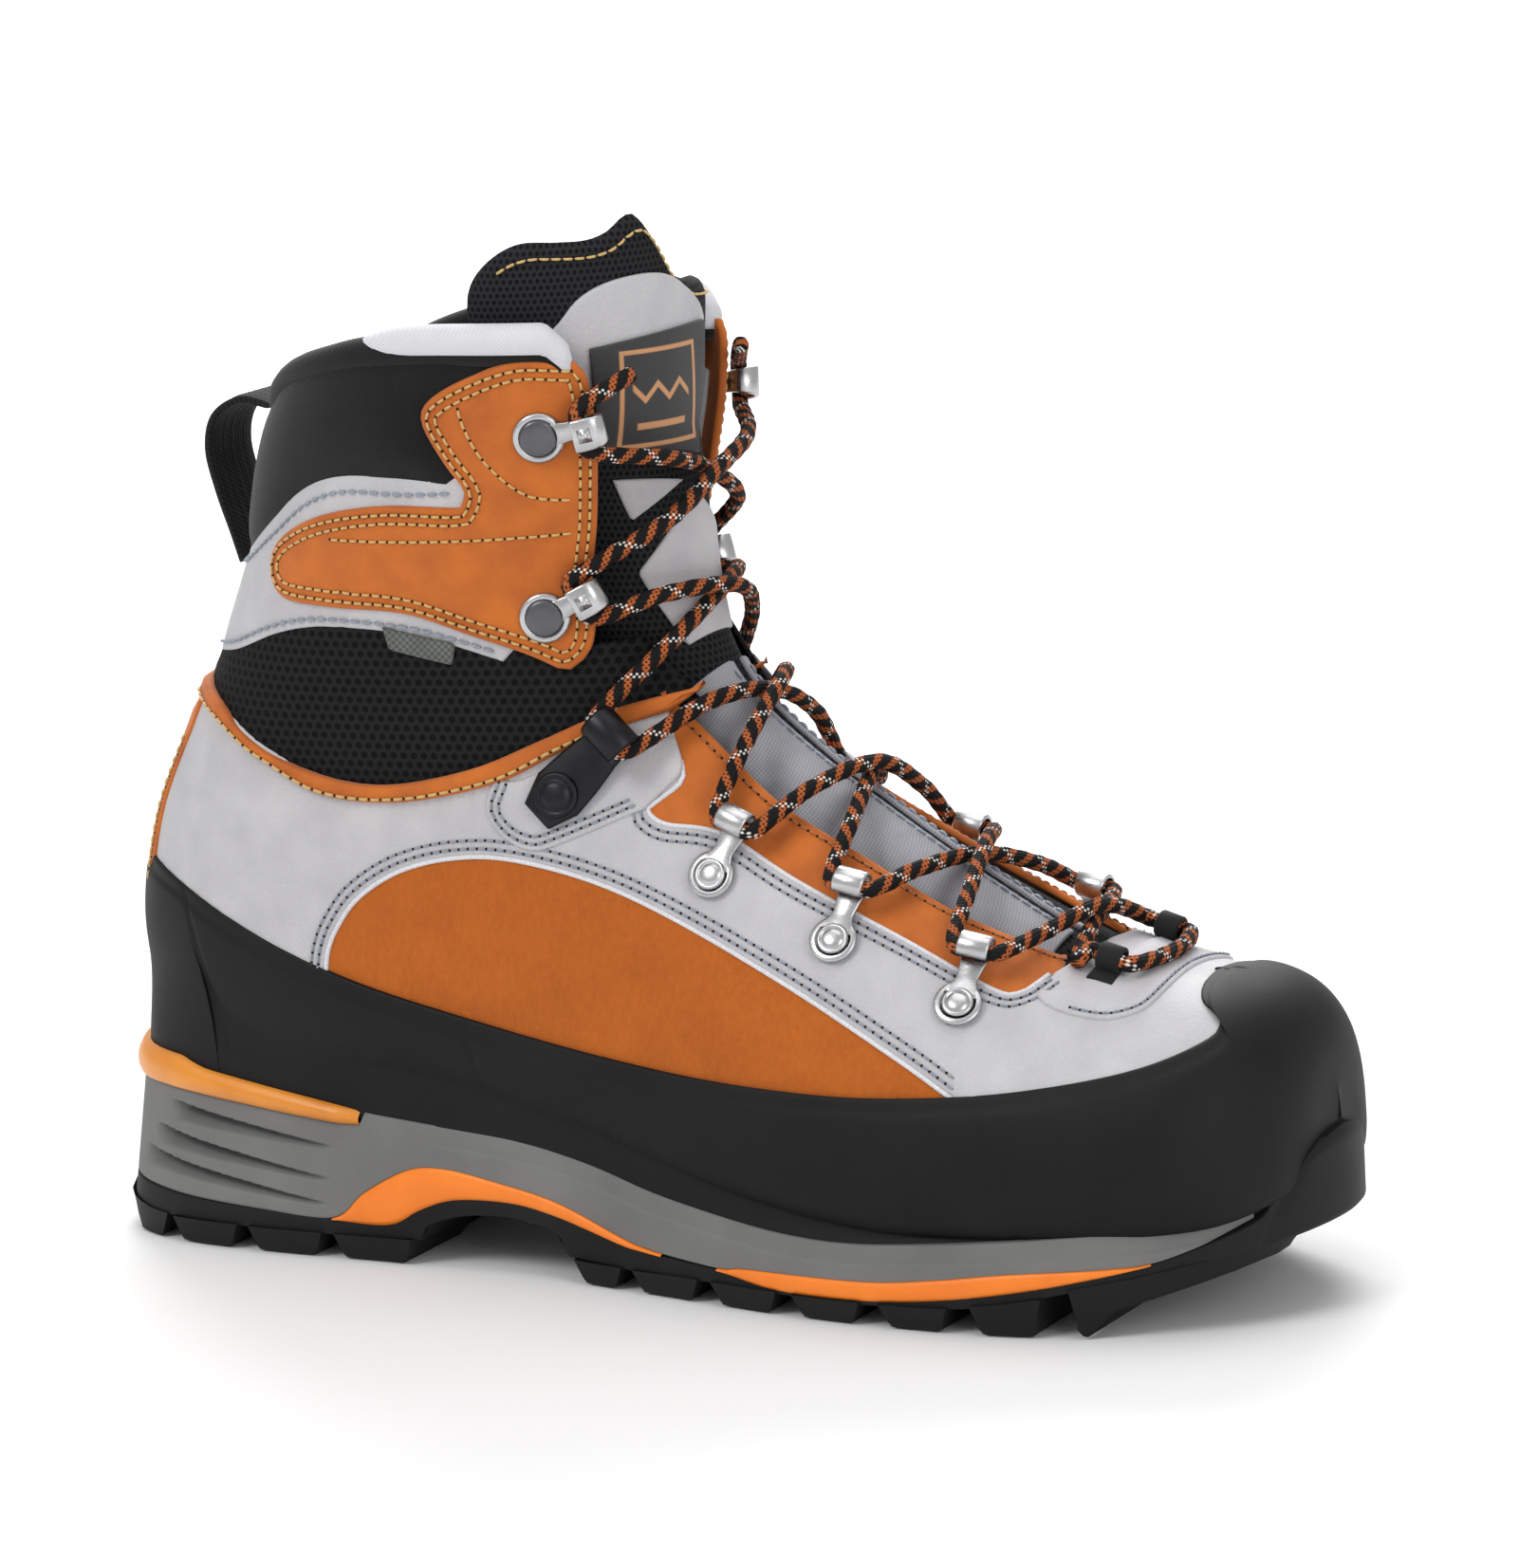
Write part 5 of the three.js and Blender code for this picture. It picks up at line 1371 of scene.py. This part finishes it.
for a, b in HEEL_BLOCKS:
    lugs.append(lug(edge_run(a, b, -HEEL_BLOCK_HALF), edge_run(a, b, HEEL_BLOCK_HALF)))
outsole = make("outsole", *join([tread, deck, *lugs]), SOLE_RUBBER, "foot")
edge_split = outsole.modifiers.new("crisp edges", "EDGE_SPLIT")
edge_split.split_angle = math.radians(40)
cover(outsole, "black_rubber", "outsole")

# ---- collar ----
collar_line = line(*COLLAR)
collar_start = np.array([[collar_line[0, 0], PI]])
collar_front = from_degrees([(16.9, 48)])
collar_back = collar_line[collar_line[:, 1] > math.radians(55)]
collar_side = np.vstack([collar_front, collar_back[::-1], collar_start])
collar_side = resample(collar_side * CHART_SCALE, 1.4) / CHART_SCALE
collar_full = np.vstack([collar_side, wrap(collar_side)[::-1][1:]])


def collar_roll(uv, out_radius, up_radius, taper_start, taper_end, lift=-1.2):
    """A soft roll over the collar's edge, thinned out at its ends."""
    sides = 20
    points = surface(uv[:, 0], uv[:, 1])
    normals = normal(uv[:, 0], uv[:, 1])
    rise = unit(slopes(uv[:, 0], uv[:, 1])[0])
    reach = reach_along(points)
    ends = np.clip(reach / taper_start, 0, 1) * np.clip((reach[-1] - reach) / taper_end, 0, 1)
    size = np.sqrt(1 - (1 - ends) ** 2)[:, None, None]
    angle = np.linspace(0, 2 * PI, sides, endpoint=False)[None, :, None]
    ring = normals[:, None] * np.cos(angle) * out_radius + rise[:, None] * np.sin(angle) * up_radius
    centre = points + normals * -0.6 + rise * lift
    vertices = (centre[:, None] + ring * size).reshape(-1, 3)
    return vertices, flipped(grid_faces(len(uv), sides, closed=True))


roll = make("collar_roll", *collar_roll(collar_full, 4.2, 4.0, 4.0, 4.0), STRETCH, "cuff")
cover(roll, "black_stretch")
BINDING_END = -66.0
front_part = collar_side[(surface(collar_side[:, 0], collar_side[:, 1]) - ORIGIN)[:, 0] > BINDING_END]
bindings = []
for side in SIDES.values():
    points, faces = collar_roll(turner(side)(front_part), 4.7, 4.3, 3.0, 20.0, lift=0.2)
    bindings.append((points, faces if side == LATERAL else flipped(faces)))
cover(make("collar_binding", *join(bindings), BINDING, "cuff"), "grey_binding", "collar_binding")

# ---- soft slabs inside the boot: lining, footbed and tongue ----


def slab(name, place_at, top, thickness, rows, cols, material, body, end_v=0.0, start_v=0.0, edge=8):
    """A soft sheet with rounded edges. place_at(v, u) gives chart points, v along and u across."""
    u = np.sin(np.linspace(-PI / 2, PI / 2, cols))[None, :] * np.ones((rows, 1))
    v = np.linspace(0, 1, rows)[:, None] * np.ones((1, cols))
    s, psi = place_at(v, u)
    full = thickness * np.sqrt(np.maximum(1 - np.abs(u) ** edge, 0))
    if end_v:
        near = np.clip((1 - v) / end_v, 0, 1)
        full = full * np.sqrt(1 - (1 - near) ** 2)
    if start_v:
        near = np.clip(v / start_v, 0, 1)
        full = full * np.sqrt(1 - (1 - near) ** 2)
    middle = top(s, psi) - thickness / 2
    outer = off(s, psi, middle + full / 2)
    inner = off(s, psi, middle - full / 2)
    rings = np.concatenate([outer, inner[:, ::-1][:, 1:-1]], 1)
    chart_outer = np.stack([s, psi], -1)
    chart_ring = np.concatenate([chart_outer, chart_outer[:, ::-1][:, 1:-1]], 1).reshape(-1, 2)
    around = rings.shape[1]
    faces = flipped(grid_faces(rows, around, closed=True))
    return make(name, rings.reshape(-1, 3), faces, material, body, arc_uv(chart_ring))


throat_edge = np.array([[3.0, 5], [4.9, 12], [5.3, 17], [6.5, 22], [9.0, 27], [10.3, 30], [11.4, 36],
                        [14, 40], [18, 48]])


def throat_psi(s):
    """Half the width of the throat opening."""
    return np.radians(np.interp(s, throat_edge[:, 0], throat_edge[:, 1]))


collar_s = np.array([collar_full[:, 1], collar_full[:, 0]])


LINING_FROM = 3.0


def lining_place(v, u):
    psi_top = PI + u * (PI - math.radians(50))
    top = np.interp(psi_top, collar_s[0], collar_s[1]) - 0.15
    s = LINING_FROM + (top - LINING_FROM) * v
    return s, PI + u * (PI - throat_psi(s) - 0.03)


lining = slab("lining", lining_place, lambda s, psi: -0.3 + 0 * s, 4.2, 90, 80, LINING, ANKLE, edge=30)
cover(lining, "lining_fabric", "lining_lateral", "lining_medial", "lining_cuff")


def footbed_place(v, u):
    return 1.2 + 10.2 * v, PI + u * math.radians(38)


cover(slab("footbed", footbed_place, lambda s, psi: -4.9 + 0 * s, 3.0, 60, 24, FOOTBED, "foot", 0.04, 0.04),
      "footbed_foam", "footbed")

TONGUE_THICK, TONGUE_FROM, TIP_FROM = 5.0, 4.9, 16.2
SUNK, SUNK_FROM, SUNK_OVER = 5.0, 12.8, 2.6
tongue_open = np.array([[4, 15], [5, 18], [9, 25], [11, 37], [17.0, 47], [17.6, 80], [19, 88]])
tongue_rim = smooth([(-78, 17.2), (-60, 17.5), (-40, 17.6), (-20, 17.6), (-4, 17.65), (4, 17.85), (11, 18.25),
                     (18, 18.58), (24, 18.62), (32, 18.46), (41, 18.4), (52, 18.44), (63, 18.5), (71, 18.42),
                     (78, 18.22), (82, 17.95), (84, 17.5)], 1.0)


def tongue_half(s):
    return np.radians(np.where(s < 9, 22 + 1.2 * s, 32.8 + 5.2 * (s - 9)))


def tongue_top(s, psi):
    """Height of the tongue's outer face: full in the throat, tucked under its edges."""
    width = np.radians(np.interp(s, tongue_open[:, 0], tongue_open[:, 1]))
    share = np.minimum(np.abs(psi) / width, 1)
    sunk = SUNK * np.clip((s - SUNK_FROM) / SUNK_OVER, 0, 1) ** 1.3
    return -6.6 + (5.8 - sunk) * np.cos(share * PI / 2) ** 0.6


def tongue_place(v, u):
    s = TONGUE_FROM + (TIP_FROM + 0.4 - TONGUE_FROM) * v
    return s, u * tongue_half(s)


def tip_place(v, u):
    psi = u * math.radians(80.5) + math.radians(2.5)
    rim = np.interp(np.degrees(psi), tongue_rim[:, 0], tongue_rim[:, 1])
    s = TIP_FROM + (rim - TIP_FROM) * v
    narrow = tongue_half(s) / tongue_half(18.2)
    return s, psi * np.minimum(narrow, 1.02)


tongue = slab("tongue", tongue_place, tongue_top, TONGUE_THICK, 110, 60, TONGUE_MESH, TONGUE_BEND, 0.03, 0.03)
cover(tongue, "tongue_fabric", "tongue_lower", "tongue_crease", "tongue_upper")


def tip_top(s, psi):
    return tongue_top(s, psi) + 0.25


tip = slab("tongue_tip", tip_place, tip_top, 5.6, 40, 80, TONGUE_MESH, FOLD_BEND, 0.22, 0.12, edge=14)
cover(tip, "tongue_fabric", "tongue_top")


def on_tongue(points, step=1.6):
    """Chart outline of a patch on the tongue from (s, degrees) corners."""
    rough = from_degrees(points)
    ring = np.vstack([rough, rough[:1]]) * CHART_SCALE
    return resample(ring, step)[:-1] / CHART_SCALE


def tongue_row(points, lift):
    """A seam line on the tongue and the height it runs at."""
    uv = chart_curve(from_degrees(points), 1.2)
    return uv, tongue_top(uv[:, 0], uv[:, 1]) + lift


def tongue_patch(name, corners, material, high, body, slot_name, rounded_arc=False):
    uv = chart_curve(from_degrees(corners)) if rounded_arc else on_tongue(corners)
    made = panel(name, uv, material, body, high, -0.6, 0.6, 2.2, ground=tongue_top)
    return cover(made, slot_name)


ARCH = [(16.0, 60), (17.1, 59), (17.28, 57), (17.46, 52), (17.67, 47), (17.79, 41), (17.85, 34), (17.87, 25),
        (17.85, 16), (17.79, 9), (17.67, 3), (17.46, -3), (17.28, -8), (17.0, -11), (16.0, -12)]
tongue_patch("tongue_arch", ARCH, SYNTHETIC, 1.3, FOLD_BEND, "grey_synthetic", True)
DIAMOND = [(13.95, 2), (12.55, 25), (10.25, 15), (10.2, -9), (12.4, -22)]
tongue_patch("tongue_diamond", DIAMOND, SYNTHETIC, 0.9, TONGUE_BEND, "grey_synthetic")
WEDGES = {"lateral": [(14.7, 33), (14.25, 6), (13.75, 27)],
          "medial": [(14.7, -30), (14.25, -3), (13.75, -24)]}
for tag, wedge in WEDGES.items():
    tongue_patch(f"tongue_wedge_{tag}", wedge, SYNTHETIC, 0.9, "cuff", "grey_synthetic")
for tag, side in SIDES.items():
    inner = np.array([(5.2, 2.2), (6.4, 2.2), (7.8, 2.4), (9.6, 2.6)])
    outer = np.array([(9.6, 27), (7.8, 24), (6.4, 21), (5.2, 15)])
    corners = np.vstack([inner, outer]) * [1, side]
    tongue_patch(f"tongue_strip_{tag}", corners, STRIP, 1.0, TONGUE_BEND, "tongue_fabric")
    uv, height = tongue_row([(s, side * a) for s, a in ((5.35, 4), (6.4, 4.2), (7.8, 4.4), (9.4, 4.8))], 1.15)
    stitches(f"tongue_strip_seam_{tag}", [uv], height, BLUE_THREAD, TONGUE_BEND, False, "tongue_fabric")
hem_angles = np.arange(-70, 79, 6.0)
hem_rim = np.interp(hem_angles, tongue_rim[:, 0], tongue_rim[:, 1])
hem, hem_height = tongue_row(list(zip(hem_rim - 0.2, hem_angles * 0.985)), 0.35)
stitches("tongue_hem_seam", [hem], hem_height, GOLD_THREAD, FOLD_BEND, False, "tongue_fabric", 2.6, 0.3)

LABEL_LOW, LABEL_HIGH, LABEL_FROM, LABEL_TO = 14.75, 17.05, -1.0, 41.5


def label_height(s, psi):
    return tongue_top(s, psi) + 1.6 + 0.8 * np.sin(np.clip((s - LABEL_LOW) / 2.3, 0, 1) * PI)


label_corners = [(LABEL_LOW, LABEL_FROM), (LABEL_HIGH + 0.05, LABEL_FROM - 6), (LABEL_HIGH, LABEL_TO + 1),
                 (15.45, LABEL_TO - 2)]
label = panel("label", on_tongue(label_corners, 1.2), LABEL, None, 0.8, -0.2, 0.4, 1.8, ground=label_height)
co = mesh_points(label.data)
middle = (co.max(0) + co.min(0)) / 2
across = unit(np.array([co[np.argmin(co[:, 1])] - co[np.argmax(co[:, 1])]])[0] * [1, 1, 0.15])
give_uv(label.data, np.stack([(middle - co) @ across, (co - middle)[:, 2]], 1))
attach(label, "cuff")
cover(label, "label_fabric", "label")

# ---- metalwork ----


def seat(s, psi, offset):
    """Origin and axes of a fitting: x to the throat, z out of the boot."""
    out = normal(s, psi)
    forward = surface(s, psi * 0.9) - surface(s, psi)
    forward = unit(forward - out * forward.dot(out))
    return off(s, psi, offset), np.stack([forward, np.cross(out, forward), out])


def seated(parts, frame_at):
    """A fitting's parts moved to its seat on the boot."""
    origin, axes_rows = frame_at
    vertices, faces = join(parts)
    return origin + vertices @ axes_rows, faces


def lathe(profile, x=0.0, segments=28):
    """A turned part about the z axis through x, from (radius, height) points."""
    angle = np.linspace(0, 2 * PI, segments, endpoint=False)
    rings = [np.stack([x + r * np.cos(angle), r * np.sin(angle), np.full(segments, z)], 1)
             for r, z in profile]
    return np.vstack(rings), grid_faces(len(profile), segments, closed=True)


def strap(profile, widths, thickness, step=0.7):
    """A bent metal strip along x-z points with rounded edges; widths run along it."""
    fine = smooth(profile, step)
    share = np.linspace(0, 1, len(widths))
    width = np.interp(np.linspace(0, 1, len(fine)), share, widths)
    along = unit(np.gradient(fine, axis=0))
    side = np.stack([-along[:, 1], along[:, 0]], 1)
    section = [(-0.5, -0.25), (-0.44, -0.5), (0.44, -0.5), (0.5, -0.25), (0.5, 0.25), (0.44, 0.5),
               (-0.44, 0.5), (-0.5, 0.25)]
    rings = []
    for k in range(len(fine)):
        ring = [(fine[k, 0] + side[k, 0] * t * thickness, w * width[k],
                 fine[k, 1] + side[k, 1] * t * thickness) for w, t in section]
        rings.append(ring)
    n = len(section)
    faces = grid_faces(len(fine), n, closed=True)
    faces += [list(range(n))[::-1], list(range((len(fine) - 1) * n, len(fine) * n))]
    return np.array(rings).reshape(-1, 3), faces


def curl(x, z, radius, start, end, steps=16):
    """Points of an arc, for an end that is rolled over the lace."""
    angle = np.radians(np.linspace(start, end, steps))
    return [(x + radius * math.cos(a), z + radius * math.sin(a)) for a in angle]


def block(x0, x1, y0, y1, z0, z1):
    corners = np.array([(x, y, z) for z in (z0, z1) for x, y in ((x0, y0), (x1, y0), (x1, y1), (x0, y1))])
    faces = [[3, 2, 1, 0], [4, 5, 6, 7]] + [[k, (k + 1) % 4, (k + 1) % 4 + 4, k + 4] for k in range(4)]
    return corners, faces


BASE = [(0, 0), (5.0, 0), (5.3, 0.3), (5.3, 0.8), (4.9, 1.05), (4.1, 1.1)]
RIVET_RIM = [(3.5, 1.0), (3.5, 1.3), (3.1, 1.6), (2.8, 1.5), (2.5, 1.3)]
RIVET_DOME = [(2.6, 1.2), (2.3, 1.5), (1.6, 1.75), (0.8, 1.85), (0.01, 1.9)]
HARDWARE_SEAT = 2.9
EYELETS = [(7.87, 50), (6.66, 46.5), (5.58, 47)]
EYELET_REACH, EYELET_HEIGHT, BORE = 12.6, 3.2, 2.4
HOOKS = {"lower": (12.8, 47), "upper": (16.1, 57)}
LOCK = (9.76, 56)
TOE_LOOP, LOOP_HEIGHT = (4.6, 17), 3.3

eyelet_curl = curl(EYELET_REACH, EYELET_HEIGHT, BORE + 0.45, -125, 160)
eyelet_strap = strap([(2, 0.6), (5, 0.7), (8, 0.75)] + eyelet_curl,
                     [8.0, 4.6, 5.6, 7.0, 7.2, 7.2, 7.0], 0.9)
hook_strap = strap([(3, 0.8), (7, 0.8), (11, 0.85), (13.7, 1.3), (14.6, 3.2), (14.5, 5.0), (13.2, 6.4),
                    (10.5, 6.65), (8.0, 6.5)], [5.4, 4.4, 4.8, 5.6, 6.6, 7.4, 7.4], 1.1)
HOOK_BASE = [(0, 0), (5.5, 0), (5.8, 0.3), (5.7, 0.9), (5.2, 1.3), (4.6, 1.35), (4.3, 1.1)]
HOOK_DOME = [(4.35, 1.0), (4.1, 1.5), (3.6, 1.75), (1.8, 1.9), (0.01, 1.95)]
hook_mark = [block(9.2, 12.2, -1.6, 1.6, 6.9, 7.35), block(9.9, 11.5, -0.9, 0.9, 7.2, 7.65)]
lock_strap = strap([(-6.6, 0.8), (0, 0.9), (8, 0.9), (13, 1.0)] + curl(19, 4.3, 3.8, -130, 150),
                   [8.0, 13.0, 12.0, 10.0, 10.5, 10.5, 10.0], 1.4)
LOCK_RIVET = [(5.2, 1.4), (5.2, 2.1), (4.6, 2.5), (3.9, 2.3), (3.6, 2.0), (3.2, 2.7), (1.8, 3.1), (0.01, 3.2)]
for tag, side in SIDES.items():
    for i, (s, angle) in enumerate(EYELETS, 1):
        here = seat(s, side * math.radians(angle), HARDWARE_SEAT)
        parts = [lathe(BASE), lathe(RIVET_RIM), lathe(RIVET_DOME), eyelet_strap]
        cover(make(f"eyelet_{tag}_{i}", *seated(parts, here), STEEL, "foot"), "steel", f"eyelet_{tag}_{i}")
    for name, (s, angle) in HOOKS.items():
        here = seat(s, side * math.radians(angle), HARDWARE_SEAT + 0.4)
        parts = [lathe(HOOK_BASE), hook_strap, *hook_mark]
        cover(make(f"hook_{name}_{tag}", *seated(parts, here), STEEL, "cuff"), "steel", f"hook_{name}_{tag}")
        cover(make(f"hook_rivet_{name}_{tag}", *seated([lathe(HOOK_DOME)], here), GUNMETAL, "cuff"), "steel")
    here = seat(LOCK[0], side * math.radians(LOCK[1]), HARDWARE_SEAT + 0.5)
    cover(make(f"lock_hook_{tag}", *seated([lock_strap, lathe(LOCK_RIVET)], here), BLACK_METAL, "foot"),
          "black_metal", f"lock_hook_{tag}")
    here = seat(TOE_LOOP[0], side * math.radians(TOE_LOOP[1]), 2.3)
    loop_curl = curl(0, LOOP_HEIGHT, 2.6, -110, 235)
    loop_strap = strap([(-6, 0.4), (-3.5, 0.5)] + loop_curl, [6.0, 5.5, 5.5, 5.5], 1.0)
    cover(make(f"toe_loop_{tag}", *seated([loop_strap], here), WEBBING, "foot"), "black_webbing",
          f"toe_loop_{tag}")

# ---- lace ----

def lace_stop(side, spot, offset, reach, height, way):
    """Three points that carry the lace through a fitting."""
    origin, axes_rows = seat(spot[0], side * math.radians(spot[1]), offset)
    return [origin + np.array([reach, y * way * side, height]) @ axes_rows for y in (-5.0, 0, 5.0)]


def crossing(side, s0, s1, high):
    """Three points that carry the lace over the tongue; the high run passes over the low one."""
    halfway = (s0 + s1) / 2
    ground = 2.2 if halfway < 5.2 else tongue_top(halfway, 0.0) + 1.3
    middle = ground + LACE_RADIUS + (2 * LACE_RADIUS + 0.1 if high else 0.3)
    shoulder = 5.4 if high else 4.3
    turn = math.radians(21) * side
    return [off(s0 + 0.3 * (s1 - s0), turn, shoulder), off((s0 + s1) / 2, 0.0, middle),
            off(s0 + 0.7 * (s1 - s0), -turn, shoulder)]


stops = [(HOOKS["upper"], 3.2, 10.6, 3.6), (HOOKS["lower"], 3.2, 10.6, 3.6), (LOCK, 3.2, 19.0, 4.3)]
stops += [(spot, 2.9, EYELET_REACH, EYELET_HEIGHT) for spot in EYELETS]
stops.append((TOE_LOOP, 2.5, 0.0, LOOP_HEIGHT))


def walk(order, side, way):
    """The lace through the fittings in order, changing sides at each."""
    points = []
    for i, (spot, offset, reach, height) in enumerate(order):
        points += lace_stop(side, spot, offset, reach, height, way)
        if i + 1 < len(order):
            points += crossing(side, spot[0], order[i + 1][0][0], way > 0)
        side = -side
    return points


route = [off(16.7, math.radians(32), 2.4), *walk(stops, LATERAL, -1), off(4.2, 0.0, 4.6),
         *walk(stops[::-1], MEDIAL, 1), off(16.7, math.radians(-15), 3.0)]
lace_line = smooth(np.array(route), 0.8)
LACE_SIDES = 18
turns = np.linspace(0, 2 * PI, LACE_SIDES + 1)
tangent = unit(np.gradient(lace_line, axis=0))
side_axis = unit(np.cross(tangent[0], [0.0, 0.0, 1.0]))
rings, flat = [], []
lace_reach = reach_along(lace_line)
for k, point in enumerate(lace_line):
    side_axis = unit(side_axis - tangent[k] * side_axis.dot(tangent[k]))
    other = np.cross(tangent[k], side_axis)
    girth = turns * LACE_RADIUS
    ripple = (np.sin((lace_reach[k] + girth) * 2 * PI / STRAND)
              * np.sin((lace_reach[k] - girth) * 2 * PI / STRAND))
    radius = (LACE_RADIUS + 0.14 * ripple)[:, None]
    ring = point + radius * (np.cos(turns)[:, None] * side_axis + np.sin(turns)[:, None] * other)
    rings.append(ring)
    flat.append(np.stack([np.full(LACE_SIDES + 1, lace_reach[k]), girth], 1) * MM)
lace_faces = grid_faces(len(lace_line), LACE_SIDES + 1)
last_ring = (len(lace_line) - 1) * (LACE_SIDES + 1)
lace_faces += [list(range(LACE_SIDES))[::-1], [last_ring + k for k in range(LACE_SIDES)]]
lace = make("lace", np.vstack(rings), lace_faces, LACE, TONGUE_BEND, np.vstack(flat))
cover(lace, "lace", "lace_lower", "lace_crossing_low", "lace_crossing_high", "lace_upper_lateral",
      "lace_upper_medial")

# ---- pull loop ----
LOOP_LINE = [(-116.2, 155), (-118.4, 162), (-121.6, 171.5), (-123.6, 181), (-121.4, 188.6), (-114.4, 192.6),
             (-106.8, 191.4)]
LOOP_HALF = 9.0
loop_path = smooth(LOOP_LINE, 1.0)
loop_along = unit(np.gradient(loop_path, axis=0))
loop_out = np.stack([-loop_along[:, 1], loop_along[:, 0]], 1)
loop_reach = reach_along(loop_path)
LOOP_COLUMNS = 19
across = np.linspace(-1, 1, LOOP_COLUMNS)
rings, flat = [], []
for k in range(len(loop_path)):
    edge = 0.95 * (1 - 0.35 * np.abs(across) ** 10)
    ribs = 0.12 * np.cos(across * LOOP_HALF * 2 * PI / 3.0)
    for sign, order in ((1, across), (-1, across[::-1])):
        thick = (edge + ribs) * sign
        x = loop_path[k, 0] + loop_out[k, 0] * thick
        z = loop_path[k, 1] + loop_out[k, 1] * thick
        rings.append(np.stack([x, order * LOOP_HALF, z], 1) + ORIGIN)
        flat.append(np.stack([np.full(LOOP_COLUMNS, loop_reach[k]), order * LOOP_HALF], 1) * MM)
count = 2 * len(across)
loop_faces = grid_faces(len(loop_path), count, closed=True)
loop_faces += [list(range(count)), list(range((len(loop_path) - 1) * count, len(loop_path) * count))[::-1]]
cover(make("pull_loop", np.vstack(rings), loop_faces, WEBBING, "pull_tab", np.vstack(flat)), "black_webbing",
      "pull_loop")


# ---- inside: insole board stays as the CAD's own, in its own material ----
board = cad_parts["insole_board"]
board.data.materials.clear()
board.data.materials.append(BOARD)

# ---- floor, light and camera ----
FLOOR = Look("pale_floor", 0.85)
shade = FLOOR.noise(700.0, 2.0)
FLOOR.color(FLOOR.mix(shade, (0.8, 0.8, 0.8), (0.84, 0.84, 0.84)))
FLOOR_HALF, FLOOR_Z = 9000, -0.2
corners = [(x * FLOOR_HALF, y * FLOOR_HALF, FLOOR_Z) for x, y in ((-1, -1), (1, -1), (1, 1), (-1, 1))]
floor = make("floor", corners, [[0, 1, 2, 3]], FLOOR.material)

VIEW_TURN, VIEW_RISE, VIEW_ROLL = math.radians(28), math.radians(11.3), math.radians(3)
VIEW_DISTANCE = 1500.0
FOCAL_LENGTH, SENSOR = 154.2, 36.0
target = np.array([10.0, 0.0, 107.0]) + ORIGIN
back = np.array([math.sin(VIEW_TURN) * math.cos(VIEW_RISE), -math.cos(VIEW_TURN) * math.cos(VIEW_RISE),
                 math.sin(VIEW_RISE)])
right = np.array([math.cos(VIEW_TURN), math.sin(VIEW_TURN), 0.0])
up = np.cross(back, right)


def light(name, place, aim, width, watts):
    data = bpy.data.lights.new(name, "AREA")
    data.shape = "DISK"
    data.size = width
    data.energy = watts
    obj = bpy.data.objects.new(name, data)
    obj.location = place
    obj.rotation_euler = (Vector(aim) - Vector(place)).to_track_quat("-Z", "Y").to_euler()
    COLLECTION.objects.link(obj)
    return obj


aim = (0.0, 0.0, 0.1)
lamps = [
    light("backdrop", (-1.6, 3.4, 2.6), (-1.5, 3.2, 0.0), 3.0, 170),
    light("key", (-0.6, -1.5, 1.6), aim, 0.9, 17),
    light("top", (0.1, 0.2, 2.2), aim, 2.0, 16),
    light("fill", (1.7, -1.0, 0.8), aim, 1.2, 10),
    light("rim", (-0.8, 1.4, 1.3), aim, 1.2, 7),
]
world = bpy.data.worlds.new("studio")
world.use_nodes = True
world.node_tree.nodes["Background"].inputs[0].default_value = (1.0, 1.0, 1.0, 1.0)
world.node_tree.nodes["Background"].inputs[1].default_value = 0.62
bpy.context.scene.world = world
bpy.context.scene.view_settings.view_transform = "Standard"

camera_data = bpy.data.cameras.new("camera")
camera_data.lens = FOCAL_LENGTH
camera_data.sensor_width = SENSOR
camera_data.sensor_fit = "AUTO"
camera = bpy.data.objects.new("camera", camera_data)
camera_x = right * math.cos(VIEW_ROLL) - up * math.sin(VIEW_ROLL)
camera_y = right * math.sin(VIEW_ROLL) + up * math.cos(VIEW_ROLL)
place = (target + back * VIEW_DISTANCE) * MM
camera.matrix_world = Matrix([[camera_x[k], camera_y[k], back[k], place[k]] for k in range(3)]
                             + [[0, 0, 0, 1]])
COLLECTION.objects.link(camera)
bpy.context.scene.camera = camera
